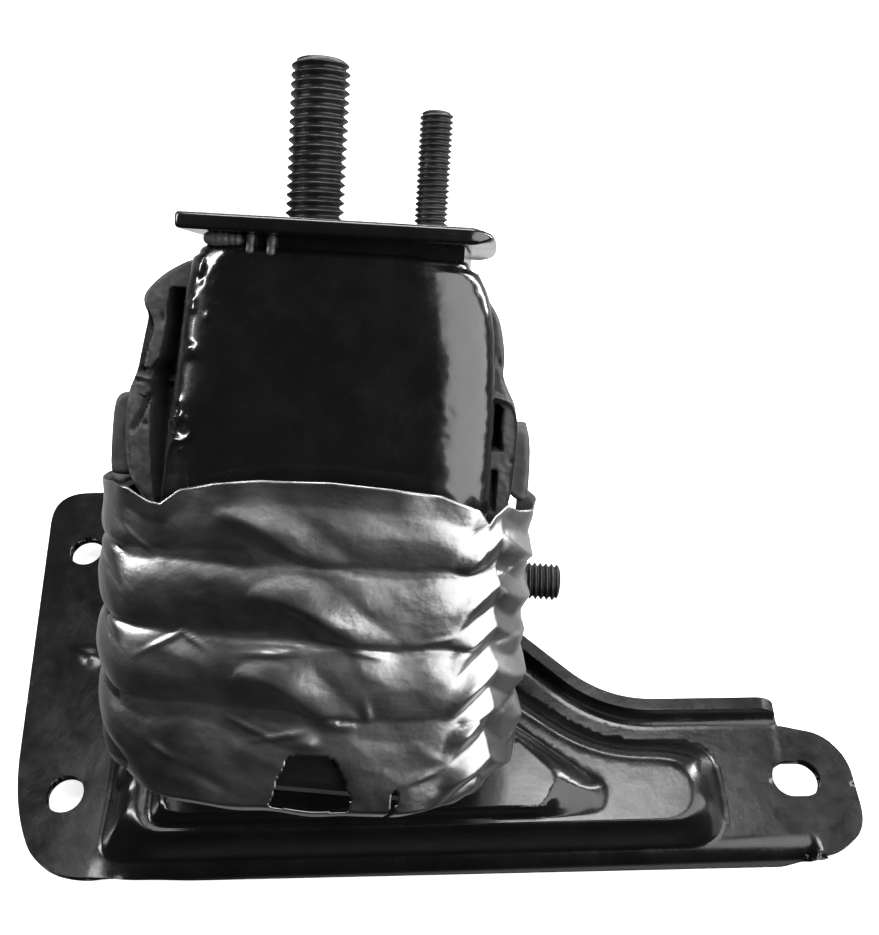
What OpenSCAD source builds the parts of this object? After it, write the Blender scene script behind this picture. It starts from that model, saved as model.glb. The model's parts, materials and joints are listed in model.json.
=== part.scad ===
/* [Base plate] */
// Sheet thickness of the base plate
sheet_t = 3.5; // [2.5:0.5:4.5]
// Diameter of the two round bolt holes
hole_d = 10.5; // [9:0.5:12]
// Distance from the front ear hole to the back ear hole
ear_pitch = 81; // [75:1:86]
// Distance from the front ear hole to the middle of the lobe slot
arm_pitch = 206; // [200:1:210]
// Extra length of the slot beyond its width
slot_extra = 3; // [0:0.5:5]
// Height of the pressed rib above the mounting face
rib_h = 17; // [13:0.5:19]
// Further height of the platform under the mount
platform_rise = 6; // [4:0.5:8]
// Height of the turned up edge of the arm
edge_up = 10.5; // [7:0.5:14]
// Depth of the turned down front edge at its right end
edge_down = 8; // [4:0.5:12]

/* [Body] */
// Angle between the body axis and the base plate
lean = 45; // [40:1:50]
// Turn of the body about an upright axis
body_yaw = -6; // [-8:0.5:-3]
// Distance along the body axis from top face to housing floor
body_l = 127; // [122:1:130]

/* [Housing] */
// Width of the oval housing
housing_w = 90; // [88:1:92]
// Depth of the oval housing from front to back
housing_depth = 59; // [56:1:61]
// Corner radius of the oval housing
housing_r = 18; // [14:1:18]
// Wall thickness of the housing
housing_t = 2.5; // [1.5:0.5:3.5]
// Height of the housing
housing_h = 63; // [55:1:64]

/* [Stirrup] */
// Width of the stirrup at its top
stirrup_top_w = 56; // [54:1:58]
// Free width between the bottom of the stirrup and the housing
stirrup_play = 9; // [8:0.5:11]
// Free depth between the stirrup and the housing
stirrup_play_deep = 8; // [7:0.5:11]
// Sheet thickness of the stirrup
stirrup_t = 3; // [2:0.5:4]

/* [Rubber] */
// Height of the rubber bonded in the housing
base_h = 20; // [16:1:22]
// Free height between the stirrup and that rubber
base_play = 3; // [2:0.5:5]
// Free width between each rubber wing and the housing wall
wing_play = 2.5; // [2:0.5:4]
// Width of the core block inside the rubber
core_w = 28; // [24:1:32]
// Depth of the core block from front to back
core_depth = 22; // [18:1:26]
// Height of the core block
core_h = 26; // [20:1:30]

/* [Top plate] */
// Width of the top plate
top_w = 65; // [62:1:68]
// Depth of the top plate from front to back
top_depth = 54; // [50:1:58]
// Thickness of the top plate
top_t = 3.5; // [3:0.5:4]
// Thickness of the crown plate below the top plate
crown_t = 3; // [2.5:0.5:4]

/* [Studs] */
// Thread diameter of the main stud
main_d = 14; // [12:1:16]
// Length of the main stud above the top plate
main_l = 38.5; // [30:0.5:45]
// Thread diameter of the locating stud
loc_d = 8; // [6:1:10]
// Length of the locating stud above the top plate
loc_l = 28; // [20:1:32]
// Distance between the two studs
stud_pitch = 26.5; // [25:0.5:28]
// Thread diameter of the side stud
side_d = 10; // [8:1:10]
// Length of the side stud outside its cheek
side_l = 20; // [16:1:30]

/* [Heat shield] */
// Height of the pillow folds of the foil
fold_depth = 2.2; // [0.5:0.1:2.6]
// Thickness of the foil as modelled
foil_t = 0.8; // [0.6:0.1:1.2]
// Number of pillow rows from top to bottom
fold_rows = 4; // [3:1:5]
// Number of pillows round the shield
fold_cols = 11; // [9:1:13]

/* [Hidden] */
$fn = 72;
gap = 0.3;
top_z = -3;
plate_low = top_z - top_t;
stack_z = plate_low - crown_t;
stir_x = 0.8;
top_x = 1.4;
house_x = -4;
saddle_x = 86;
saddle_y = 86.2;
floor_v = -89.8;
floor_z = 44.3;
axis_v = floor_v + body_l * cos(lean);
axis_z = floor_z + body_l * sin(lean);
slot_x = arm_pitch;
slot_y = 1;
hole_back = [-9, sqrt(ear_pitch * ear_pitch - 81)];
house_back = 25.5;
house_y = house_back - housing_depth / 2;
house_x0 = housing_w / 2 - housing_r;
house_y0 = housing_depth / 2 - housing_r;
house_top = -body_l + housing_h;
back_play = 3;
stirrup_depth = housing_depth - 2 * housing_t - stirrup_play_deep;
stir_y = house_back - housing_t - back_play - stirrup_depth / 2;
stir_top = stack_z;
stir_r = 9;
stirrup_l = body_l - housing_t - base_h - base_play + stir_top;
stirrup_low_w = housing_w - 2 * housing_t - stirrup_play;
window_w = stirrup_depth - 2 * stir_r;
wing_half = window_w / 2 - 2;
wing_left = house_x - housing_w / 2 + housing_t + wing_play;
wing_right = house_x + housing_w / 2 - housing_t - wing_play;
stop_half = wing_half - 3;
stop_lift_left = 3.5;
stop_lift_right = 6.5;
stop_out = 3;
main_x = -7.7;
loc_x = main_x + stud_pitch;
seat_t = 4;
seat_in = 6;
seat_up = 11;
seat_y = house_back;
cheek_t = 4;
cheek_x = 34;
deck_z = rib_h + platform_rise;
side_v = -40.6;
side_z = 47.3;

// Unit vector of a plane vector
function unit(v) = v / norm(v);
// Inward normal of the edge from a to b of an outline that runs anticlockwise
function inward(a, b) = let (d = unit(b - a)) [-d[1], d[0]];
// Outline moved inward by d, corner by corner
function inset(p, d) = [for (i = [0:len(p) - 1])
    let (a = p[(i + len(p) - 1) % len(p)], b = p[(i + 1) % len(p)], n1 = inward(a, p[i]), n2 = inward(p[i], b))
    p[i] + d * (n1 + n2) / (1 + n1 * n2)];
// Corner i of an outline rounded by a quadratic curve that starts r before it
function corner(a, c, b, r, n) = [for (k = [0:n])
    let (t = k / n, s = c + unit(a - c) * r, e = c + unit(b - c) * r)
    s * (1 - t) * (1 - t) + c * 2 * t * (1 - t) + e * t * t];
// Outline with every corner rounded; a radius never takes more than its share of the edges beside it
function soften(p, r, n) = [for (i = [0:len(p) - 1])
    let (a = p[(i + len(p) - 1) % len(p)], b = p[(i + 1) % len(p)])
    each corner(a, p[i], b, min(r[i], 0.48 * norm(a - p[i]), 0.48 * norm(b - p[i])), n)];

// Closed shell that joins stacked outlines of equal length; inner outlines run back down
function stack_skin(n, m) = [for (k = [0:m - 2]) for (i = [0:n - 1])
    let (a = k * n + i, b = a + n, c = (k + 1) * n + (i + 1) % n, d = c - n)
    each [[a, b, c], [a, c, d]]];
function raise(p, z) = [for (q = p) [q[0], q[1], z]];
function blend(a, b, w) = [for (i = [0:len(a) - 1]) a[i] * (1 - w) + b[i] * w];

// Solid between two outlines, straight from one to the other
module tapered(low, high, z0, z1) {
    n = len(low);
    skin = concat(stack_skin(n, 2), [[for (i = [0:n - 1]) i]], [[for (i = [n - 1:-1:0]) n + i]]);
    polyhedron(concat(raise(low, z0), raise(high, z1)), skin);
}

// Places a child drawn square to the body, with its top face at zero
module in_body() {
    in_saddle() translate([0, axis_v, axis_z]) rotate([lean - 90, 0, 0]) children();
}

// Places a child drawn upright, turned with the body only
module in_saddle() {
    translate([saddle_x, saddle_y, 0]) rotate([0, 0, body_yaw]) children();
}

// Upright plate drawn as an outline of depth and height, standing at x
module upright(x, t) {
    translate([x, 0, 0]) rotate([90, 0, 90]) linear_extrude(t) children();
}

plate_line = [[-3, -23], [213, -20], [222.3, -13.5], [221.2, 12.5], [206.5, 16], [204, 22.4], [153.5, 22.4], [66.7, 103.8], [-24, 103.8], [-13.8, -2]];
plate_round = [14, 5, 5, 8, 2, 2, 14, 10, 12, 14];
rib_low = [[12, -19.4], [184, -17.6], [184, 11.5], [151, 12.6], [62, 79], [6, 79], [13, 2]];
rib_high = [[25, -15.5], [172.5, -14.2], [172.5, 0.5], [146, 1.5], [57, 68], [19, 68], [24, 4]];
deck_low = [[28, -14.4], [149, -13.4], [151, -4], [141, 1.5], [57, 64], [23, 64], [27, 4]];
deck_high = [[33, -12.4], [132, -12.4], [136, -4], [130, 3], [54, 59], [29, 59], [32, 4]];
rib_round_low = [8, 11, 10, 12, 12, 12, 8];
rib_round_high = [6, 5, 4, 10, 10, 8, 8];
deck_round = [4, 3, 3, 3, 5, 5, 6];
wall_curve = [[0, 0], [0.1, 0.22], [0.36, 0.5], [0.62, 0.82], [0.84, 0.97], [1, 1]];
deck_curve = [[0, 0], [0.25, 0.12], [0.6, 0.7], [1, 1]];

// Rings of one side of the pressing, from its root to its flat top
function press_rings(lo, hi, dlo, dhi, z0, z1, z2) = concat(
    [for (w = wall_curve) raise(blend(lo, hi, w[0]), z0 + (z1 - z0) * w[1])],
    [for (w = deck_curve) raise(blend(dlo, dhi, w[0]), z1 + (z2 - z1) * w[1])]);

module pressed_shell() {
    r = 4;
    outer = press_rings(soften(rib_low, rib_round_low, r), soften(rib_high, rib_round_high, r),
        soften(deck_low, deck_round, r), soften(deck_high, deck_round, r), sheet_t, rib_h, deck_z);
    inner = press_rings(soften(inset(rib_low, 3.4), rib_round_low, r), soften(inset(rib_high, 2.2), rib_round_high, r),
        soften(inset(deck_low, 2.2), deck_round, r), soften(inset(deck_high, 1.6), deck_round, r),
        0, rib_h - sheet_t, deck_z - sheet_t);
    n = len(outer[0]);
    m = len(outer);
    foot = raise(soften(rib_low, rib_round_low, r), 0);
    rings = concat([foot], outer);
    s = n * (m + 1);
    up = stack_skin(n, m + 1);
    down = [for (f = stack_skin(n, m)) [f[0] + s, f[2] + s, f[1] + s]];
    under = [for (i = [0:n - 1]) each [[i, (i + 1) % n, s + (i + 1) % n], [i, s + (i + 1) % n, s + i]]];
    ends = [[for (i = [n - 1:-1:0]) m * n + i], [for (i = [0:n - 1]) s + (m - 1) * n + i]];
    polyhedron(concat([for (g = rings) each g], [for (g = inner) each g]), concat(up, down, under, ends), convexity = 8);
}

module base_plate() {
    color([0.05, 0.05, 0.055]) difference() {
        union() {
            linear_extrude(sheet_t) difference() {
                polygon(soften(plate_line, plate_round, 6));
                polygon(soften(inset(rib_low, 1.6), rib_round_low, 4));
            }
            pressed_shell();
            turned_up_edge();
            turned_down_edge();
        }
        translate([0, 0, -1]) cylinder(d = hole_d, h = sheet_t + 2);
        translate([hole_back[0], hole_back[1], -1]) cylinder(d = hole_d, h = sheet_t + 2);
        translate([slot_x - slot_extra / 2, slot_y, -1]) cylinder(d = hole_d, h = sheet_t + 2);
        translate([slot_x + slot_extra / 2, slot_y, -1]) cylinder(d = hole_d, h = sheet_t + 2);
        translate([slot_x - slot_extra / 2, slot_y - hole_d / 2, -1]) cube([slot_extra, hole_d, sheet_t + 2]);
    }
}

// Places a child drawn along edge i of the plate, with x along the edge and y inward
module along_edge(i) {
    a = plate_line[i];
    b = plate_line[(i + 1) % len(plate_line)];
    translate([a[0], a[1], 0]) rotate([0, 0, atan2(b[1] - a[1], b[0] - a[0])]) children();
}

// Cutter that rounds the top corner of a turned up edge; the end lies at x, and side is 1 or -1
module end_cut(x, r, side) {
    low = [[x + side * 4, edge_up - r], [x + side * 0.4, edge_up - r], [x - side * 0.05 * r, edge_up - 0.62 * r]];
    high = [[x - side * 0.3 * r, edge_up - 0.25 * r], [x - side * 0.75 * r, edge_up - 0.03 * r], [x - side * r, edge_up + 0.3]];
    translate([0, 15, 0]) rotate([90, 0, 0]) linear_extrude(30)
        polygon(concat(low, high, [[x - side * r, edge_up + 4], [x + side * 4, edge_up + 4]]));
}

// Edge turned up along the back of the arm, one band of the plate outline with rounded ends
module turned_up_edge() {
    outer = soften(plate_line, plate_round, 6);
    inner = soften(inset(plate_line, sheet_t), plate_round, 6);
    band = [for (k = [41:49]) outer[k]];
    back = [for (k = [49:-1:41]) inner[k]];
    first = norm(outer[41] - plate_line[5]);
    last = norm(outer[49] - plate_line[6]);
    difference() {
        translate([0, 0, 0.5]) linear_extrude(edge_up - 0.5) polygon(concat(band, back));
        along_edge(5) end_cut(first, 7, -1);
        along_edge(6) end_cut(last, 9, 1);
    }
}

// Front edge turned down, growing deeper to the right
module turned_down_edge() {
    along_edge(0) translate([0, sheet_t + 0.05, 0]) rotate([90, 0, 0]) linear_extrude(sheet_t)
        polygon([[12, 1], [33, -1.5], [205.5, -edge_down], [210, -2], [210, 1]]);
}

// Half plane on the housing side of the plane that lies y behind the body axis
module behind_axis(y) {
    translate([axis_v + y * sin(lean), axis_z - y * cos(lean)]) rotate(lean) translate([-300, 0]) square([400, 300]);
}

// Half plane on the housing side of the plane square to the axis at z
module above_floor(z) {
    translate([axis_v + z * cos(lean), axis_z + z * sin(lean)]) rotate(lean) translate([0, -200]) square([300, 400]);
}

module cheek_left() {
    color([0.06, 0.06, 0.065]) in_saddle() upright(-cheek_x - cheek_t, cheek_t) difference() {
        polygon(soften([[-76, deck_z], [-38, deck_z], [-29, 42], [-29, 90], [-76, 90]], [0.1, 2, 6, 1, 1], 4));
        behind_axis(house_back);
    }
}

module cheek_right() {
    color([0.06, 0.06, 0.065]) in_saddle() upright(cheek_x, cheek_t) difference() {
        polygon(soften([[-76, deck_z], [-69.5, deck_z], [-56, 34], [-34, 37], [-28, 48], [-28, 90], [-76, 90]], [0.1, 1, 8, 8, 6, 1, 1], 4));
        behind_axis(house_back);
    }
}

module saddle_seat() {
    color([0.06, 0.06, 0.065]) in_body() translate([-cheek_x, seat_y, -body_l + seat_up])
        cube([2 * cheek_x, seat_t, housing_h - seat_up - seat_in]);
}

module gusset(x) {
    in_saddle() upright(x, 4) difference() {
        polygon([[-93, deck_z], [-72, deck_z], [-72, 80], [-93, 80]]);
        above_floor(-body_l);
    }
}

module gusset_left() {
    color([0.06, 0.06, 0.065]) gusset(-22);
}

module gusset_right() {
    color([0.06, 0.06, 0.065]) gusset(18);
}

// Oval cup solid with a rounded bottom edge, standing on z = 0
function quarter(r, rb) = [for (k = [0:5]) let (a = 90 * k / 5) [r - rb + rb * sin(a), rb - rb * cos(a)]];
module cup(x0, y0, r, rb, h) {
    for (sx = [-1, 1]) for (sy = [-1, 1]) translate([sx * x0, sy * y0, 0]) rotate_extrude($fn = 48) polygon(concat([[0, 0]], quarter(r, rb), [[r, h], [0, h]]));
    right = quarter(y0 + r, rb);
    translate([-x0, 0, 0]) rotate([90, 0, 90]) linear_extrude(2 * x0) polygon(concat(right, [[y0 + r, h], [-y0 - r, h]], [for (k = [5:-1:0]) [-right[k][0], right[k][1]]]));
    wide = quarter(x0 + r, rb);
    translate([0, y0, 0]) rotate([90, 0, 0]) linear_extrude(2 * y0) polygon(concat(wide, [[x0 + r, h], [-x0 - r, h]], [for (k = [5:-1:0]) [-wide[k][0], wide[k][1]]]));
}

module lower_housing() {
    color([0.07, 0.07, 0.075]) in_body() translate([house_x, house_y, -body_l]) difference() {
        cup(house_x0, house_y0, housing_r, 8, housing_h);
        translate([0, 0, housing_t]) cup(house_x0, house_y0, housing_r - housing_t, 8 - housing_t, housing_h);
    }
}

module base_rubber() {
    color([0.1, 0.1, 0.1]) in_body() translate([house_x, house_y, -body_l + housing_t])
        cup(house_x0, house_y0, housing_r - housing_t - gap, 8 - housing_t, base_h);
}

// Sides of the stirrup h below its top: the left one straight, the right one with a shoulder
function stir_left(h) = stir_x - stirrup_top_w / 2 - 0.62 * (stirrup_low_w - stirrup_top_w) * h / stirrup_l;
function stir_right(h) = stir_x + stirrup_top_w / 2 + 0.38 * (stirrup_low_w - stirrup_top_w) * (1 - exp(-h / 11));

// Outline of the stirrup h below its top, moved inward by off
function stirrup_line(off, h) =
    let (a = stir_left(h) + off, b = stir_right(h) - off, y = stirrup_depth / 2 - off, r = stir_r - off)
    soften([[a, -y], [b, -y], [b, y], [a, y]], [r, r, r, r], 6);
module stirrup_block(off, levels) {
    rings = [for (h = levels) raise(stirrup_line(off, h), -h)];
    n = len(rings[0]);
    m = len(rings);
    ends = [[for (i = [0:n - 1]) i], [for (i = [n - 1:-1:0]) (m - 1) * n + i]];
    polyhedron([for (g = rings) each g], concat(stack_skin(n, m), ends));
}

module stirrup() {
    color([0.03, 0.03, 0.035]) in_body() translate([0, stir_y, stir_top]) difference() {
        stirrup_block(0, [stirrup_l, 60, 36, 20, 10, 4, 0]);
        stirrup_block(stirrup_t, [stirrup_l + 5, 60, 36, 20, 10, stirrup_t + 1, stirrup_t]);
        translate([-stirrup_low_w, -window_w / 2, -stirrup_l - 10])
            cube([2 * stirrup_low_w, window_w, stirrup_l + 10 - stirrup_t]);
    }
}

// Outline of the rubber seen from the front, as sideways distance from a wing and height below the stirrup top
sill = house_top - stir_top + stirrup_t;
rubber_low = -stirrup_l - base_play + stirrup_t;
rubber_left = [[20, -1], [14, -1.2], [7.2, -2.8], [3.7, -5.8], [2.2, -8.9], [2.7, -11], [0.9, -23], [0, -28],
    [0, sill + 0.5], [3, sill - 2.5], [3.5, rubber_low]];
rubber_right = [[0, rubber_low], [0, sill - 8.5], [stop_out, sill + 5.5], [stop_out, -28], [1.7, -22], [1.2, -15],
    [-0.5, -8.5], [-3.5, -4], [-8, -1.5], [-12, -1]];
module main_rubber() {
    deep = stirrup_depth - 2 * stirrup_t;
    wings = concat([for (p = rubber_left) [wing_left + p[0], p[1]]], [for (p = rubber_right) [wing_right + p[0], p[1]]]);
    color([0.09, 0.09, 0.09]) in_body() translate([0, stir_y, stir_top - stirrup_t]) difference() {
        union() {
            translate([0, deep / 2, 0]) rotate([90, 0, 0]) linear_extrude(deep)
                polygon([[-18, 0], [20, 0], [27, rubber_low], [-27, rubber_low]]);
            translate([0, wing_half, 0]) rotate([90, 0, 0]) linear_extrude(2 * wing_half) polygon(wings);
        }
        translate([-core_w / 2, -core_depth / 2, -core_h]) cube([core_w, core_depth, core_h + 1]);
    }
}

module core_block() {
    color([0.5, 0.5, 0.5]) in_body() translate([-core_w / 2, stir_y - core_depth / 2, stir_top - stirrup_t - core_h])
        cube([core_w, core_depth, core_h]);
}

// Rubber ear drawn from the front, with its foot on a wing and its underside at z
module bump_stop(x, z) {
    color([0.1, 0.1, 0.1]) in_body() translate([x, stir_y + stop_half, z]) rotate([90, 0, 0])
        linear_extrude(2 * stop_half) children();
}

module bump_stop_left() {
    bump_stop(wing_left, house_top + stop_lift_left)
        polygon([[0, 0], [0, 18], [-3.6, 18], [-5, 15.5], [-5.5, 1.5], [-4.8, 0]]);
}

module bump_stop_right() {
    bump_stop(wing_right + stop_out, house_top + stop_lift_right)
        polygon([[0, 0], [4.5, 0], [5.3, 1.5], [4.6, 11.5], [3.4, 16], [0, 16.5]]);
}

module crown_plate() {
    color([0.05, 0.05, 0.055]) in_body() difference() {
        translate([stir_x - stirrup_top_w / 2 + 1, stir_y - stirrup_depth / 2 + 1.5, stack_z]) cube([stirrup_top_w - 2, stirrup_depth - 3, crown_t]);
        translate([main_x, stir_y, stack_z - 1]) cylinder(d = main_d + 8 + 2 * gap, h = crown_t + 2);
        translate([loc_x, stir_y, stack_z - 1]) cylinder(d = loc_d + 5 + 2 * gap, h = crown_t + 2);
    }
}

module top_plate() {
    w = top_w / 2;
    d = top_depth / 2;
    color([0.04, 0.04, 0.045]) in_body() difference() {
        translate([top_x, stir_y, plate_low]) linear_extrude(top_t) polygon(soften([[-w, -d], [w, -d], [w, d], [-w, d]], [3, 6, 6, 3], 5));
        translate([main_x, stir_y, plate_low - 1]) cylinder(d = main_d + 1 + 2 * gap, h = top_t + 2);
        translate([loc_x, stir_y, plate_low - 1]) cylinder(d = loc_d + 1 + 2 * gap, h = top_t + 2);
    }
}

// Profile of a headed stud: head under the top plate, pressed shoulder inside it, plain shank above
function stud_line(d, head) = [[0, stack_z], [head / 2 - 0.6, stack_z], [head / 2, stack_z + 0.6], [head / 2, plate_low],
    [d / 2 + 0.5, plate_low], [d / 2 + 0.5, top_z], [d / 2, top_z]];

module main_stud() {
    r = main_d / 2;
    z = top_z + main_l;
    tip = [[r, z - 2.4], [r - 1.2, z - 1], [r - 3, z - 0.2], [0, z]];
    color([0.12, 0.12, 0.125]) in_body() translate([main_x, stir_y, 0]) rotate_extrude() polygon(concat(stud_line(main_d, main_d + 8), tip));
}

module locating_stud() {
    r = loc_d / 2;
    z = top_z + loc_l;
    tip = [[r, z - 0.4], [r - 0.4, z], [0, z]];
    color([0.1, 0.1, 0.105]) in_body() translate([loc_x, stir_y, 0]) rotate_extrude() polygon(concat(stud_line(loc_d, loc_d + 5), tip));
}

module side_stud() {
    color([0.12, 0.12, 0.125]) in_saddle() translate([cheek_x + cheek_t, side_v, side_z]) rotate([0, 90, 0]) rotate_extrude() polygon([[0, 0], [side_d / 2 + 2.5, 0], [side_d / 2 + 2.5, 2], [side_d / 2, 2.6], [side_d / 2, side_l - 1.8], [side_d / 2 - 1, side_l - 0.6], [side_d / 2 - 2.5, side_l], [0, side_l]]);
}

module crown_bead(x, l) {
    translate([x, stir_y - stirrup_depth / 2 + 1.5, plate_low]) rotate([90, 0, 90]) linear_extrude(l)
        polygon([[0, 0], [-2.6, 0], [-1.9, -1.4], [0, -crown_t + 0.3]]);
}

module crown_weld() {
    color([0.25, 0.25, 0.25]) in_body() crown_bead(-26, 6.5);
}

module crown_tacks() {
    color([0.25, 0.25, 0.25]) in_body() {
        crown_bead(-17.6, 1.6);
        crown_bead(-13.2, 1.8);
    }
}

module flat_bead(x, v, l, side) {
    translate([x, v, deck_z]) rotate([90, 0, 180]) linear_extrude(l) polygon([[0, 0], [-side * 3, 0], [-side * 2.2, 1.6], [-side * 1, 2.6], [0, 3]]);
}

module cheek_weld_left() {
    color([0.12, 0.12, 0.12]) in_saddle() flat_bead(-cheek_x - cheek_t, -74, 34, -1);
}

module cheek_weld_right() {
    color([0.12, 0.12, 0.12]) in_saddle() flat_bead(cheek_x + cheek_t, -75.5, 5.5, 1);
}

module gusset_weld_left() {
    color([0.12, 0.12, 0.12]) in_saddle() flat_bead(-22, -91, 18, -1);
}

module gusset_weld_right() {
    color([0.12, 0.12, 0.12]) in_saddle() flat_bead(22, -91, 18, 1);
}

module seat_weld() {
    color([0.12, 0.12, 0.12]) in_body() translate([-18, house_back, house_top - seat_in]) rotate([90, 0, 90]) linear_extrude(36) polygon([[0, 0], [3.5, 0], [2.6, 1.6], [0, 3]]);
}

// Heat shield of thin foil: rings from the lip under the floor up to the ragged top edge
shield_a = housing_w / 2 + 3.3;
shield_b = housing_depth / 2 + 3.2;
shield_n = 76;
shield_rows = 15;
shield_from = -203;
shield_to = 23;
function power(v, p) = sign(v) * pow(abs(v), p);
function oval(t, a, b) = [a * power(cos(t), 0.74), b * power(sin(t), 0.74)];
function shield_t(i) = shield_from + (shield_to - shield_from) * i / shield_n;
function torn(i) = let (x = oval(shield_t(i), shield_a, shield_b)[0] + house_x) max(0, 1 - pow((x - 3) / 8.2, 4)) * (sin(shield_t(i)) < 0 ? 1 : 0);
function pillow(i, h) = let (c = fold_cols * i / shield_n, row = h * fold_rows) abs(sin(180 * row)) * (0.55 + 0.45 * sin(360 * (c + 0.35 * row))) + 0.25 * sin(720 * c + 200 * row);
function rim(i) = let (t = shield_t(i), x = oval(t, shield_a, shield_b)[0] + house_x)
    (sin(t) < 0 ? 8.5 - 2.8 * pow((x - 6) / 40, 2) - 4.5 * exp(-pow((x + 28) / 3.5, 2)) - 4.5 * exp(-pow((x - 35) / 3, 2)) : 3 + 0.8 * sin(6 * t));
function shield_pt(i, j, side) = j == 0 ?
    let (c = torn(i), lip = oval(shield_t(i), housing_w / 2 - 11, housing_depth / 2 - 11), w = 1 - c, o = oval(shield_t(i), shield_a - side * foil_t * c, shield_b - side * foil_t * c))
        [lip[0] * w + o[0] * c, lip[1] * w + o[1] * c, -body_l - (1 - side) * foil_t * w + 12 * c]
    : let (h = (j - 1) / (shield_rows - 1), bottom = -body_l - 2.4 + 15 * torn(i), high = house_top + rim(i), z = bottom + (high - bottom) * h + (j == 1 ? side * foil_t * (1 - torn(i)) : 0), puff = fold_depth * pillow(i, h) * min(1, (1 - h) * 9) * min(1, h * 6), o = oval(shield_t(i), shield_a + puff - side * foil_t, shield_b + puff - side * foil_t)) [o[0], o[1], z];
module heat_shield() {
    n = shield_n + 1;
    m = shield_rows + 1;
    pts = concat([for (j = [0:m - 1]) for (i = [0:n - 1]) shield_pt(i, j, 0)], [for (j = [0:m - 1]) for (i = [0:n - 1]) shield_pt(i, j, 1)]);
    s = n * m;
    outer = [for (j = [0:m - 2]) for (i = [0:n - 2]) each [[j * n + i, (j + 1) * n + i, (j + 1) * n + i + 1], [j * n + i, (j + 1) * n + i + 1, j * n + i + 1]]];
    inner = [for (f = outer) [f[0] + s, f[2] + s, f[1] + s]];
    low = [for (i = [0:n - 2]) each [[i, i + 1, s + i + 1], [i, s + i + 1, s + i]]];
    e = (m - 1) * n;
    high = [for (i = [0:n - 2]) each [[e + i, s + e + i, s + e + i + 1], [e + i, s + e + i + 1, e + i + 1]]];
    first = [for (j = [0:m - 2]) each [[j * n, s + j * n, s + (j + 1) * n], [j * n, s + (j + 1) * n, (j + 1) * n]]];
    last = [for (j = [0:m - 2]) each [[j * n + n - 1, (j + 1) * n + n - 1, s + (j + 1) * n + n - 1], [j * n + n - 1, s + (j + 1) * n + n - 1, s + j * n + n - 1]]];
    color([0.75, 0.75, 0.76]) in_body() translate([house_x, house_y, 0]) polyhedron(pts, concat(outer, inner, low, high, first, last), convexity = 8);
}

base_plate();
cheek_left();
cheek_right();
saddle_seat();
gusset_left();
gusset_right();
lower_housing();
base_rubber();
main_rubber();
core_block();
bump_stop_left();
bump_stop_right();
stirrup();
crown_plate();
top_plate();
main_stud();
locating_stud();
side_stud();
crown_weld();
crown_tacks();
cheek_weld_left();
cheek_weld_right();
gusset_weld_left();
gusset_weld_right();
seat_weld();
heat_shield();
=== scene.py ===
# %% [markdown]
# # A rubber engine mount on its stamped bracket plate
#
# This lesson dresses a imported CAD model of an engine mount. The CAD part is loaded as a fixed
# frame, and detailed surfaces are then built over it: cut threads, crinkled foil, moulded rubber
# and gloss black pressings. Every surface is an array of points computed from a short formula.
# Lengths in the formulas are millimetres, and they become metres when a mesh is made.

import json
import math

import bmesh
import bpy
import numpy as np
from mathutils import Matrix, Vector
from mathutils.geometry import delaunay_2d_cdt


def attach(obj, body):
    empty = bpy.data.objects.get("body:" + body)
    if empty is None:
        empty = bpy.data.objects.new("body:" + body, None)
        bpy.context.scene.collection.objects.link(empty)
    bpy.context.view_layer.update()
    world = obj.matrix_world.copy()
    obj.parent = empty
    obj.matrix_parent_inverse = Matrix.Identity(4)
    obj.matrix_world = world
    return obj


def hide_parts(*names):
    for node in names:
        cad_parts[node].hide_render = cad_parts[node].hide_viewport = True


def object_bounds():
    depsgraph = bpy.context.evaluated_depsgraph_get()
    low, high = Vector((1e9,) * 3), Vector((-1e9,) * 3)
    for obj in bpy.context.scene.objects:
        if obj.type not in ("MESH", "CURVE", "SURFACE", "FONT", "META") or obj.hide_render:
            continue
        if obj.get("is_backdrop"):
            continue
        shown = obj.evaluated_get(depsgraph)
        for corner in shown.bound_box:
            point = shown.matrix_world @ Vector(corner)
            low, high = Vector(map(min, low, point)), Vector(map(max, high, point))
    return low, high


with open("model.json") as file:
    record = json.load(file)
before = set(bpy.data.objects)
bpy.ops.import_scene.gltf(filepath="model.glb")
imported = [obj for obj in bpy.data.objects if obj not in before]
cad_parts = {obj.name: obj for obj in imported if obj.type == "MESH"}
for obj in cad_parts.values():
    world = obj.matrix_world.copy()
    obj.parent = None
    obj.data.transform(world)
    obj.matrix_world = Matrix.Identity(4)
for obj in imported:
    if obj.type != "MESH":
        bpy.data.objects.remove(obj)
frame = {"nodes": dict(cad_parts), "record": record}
cad_low, cad_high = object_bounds()
nodes = frame["nodes"]
print("CAD nodes:", len(nodes))

# %% [markdown]
# ## Two frames inside the row frame
#
# The rubber body leans back by 45 degrees and is turned a little about an upright axis, so most
# of its pieces are easier to write in a frame of their own. `from_body` takes points drawn square
# to the body, with z = 0 on the top face, and `from_saddle` takes points drawn upright but turned
# with the body. Both repeat the values of the CAD source.

# %% Frames of the body and the saddle
LEAN = math.radians(45.0)
YAW = math.radians(-6.0)
ORIGIN = np.array([86.0, 86.2, 134.1])


def turn(points, yaw):
    """Rotate points about Z: x' = x cos a - y sin a, y' = x sin a + y cos a."""
    c, s = math.cos(yaw), math.sin(yaw)
    x, y, z = np.moveaxis(np.asarray(points, float), -1, 0)
    return np.stack([c * x - s * y, s * x + c * y, z], -1)


def from_body(points):
    """Body frame to row frame: tip about X by LEAN - 90 degrees, turn by YAW, then move to ORIGIN."""
    a = LEAN - math.pi / 2
    c, s = math.cos(a), math.sin(a)
    x, y, z = np.moveaxis(np.asarray(points, float), -1, 0)
    return turn(np.stack([x, c * y - s * z, s * y + c * z], -1), YAW) + ORIGIN


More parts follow.
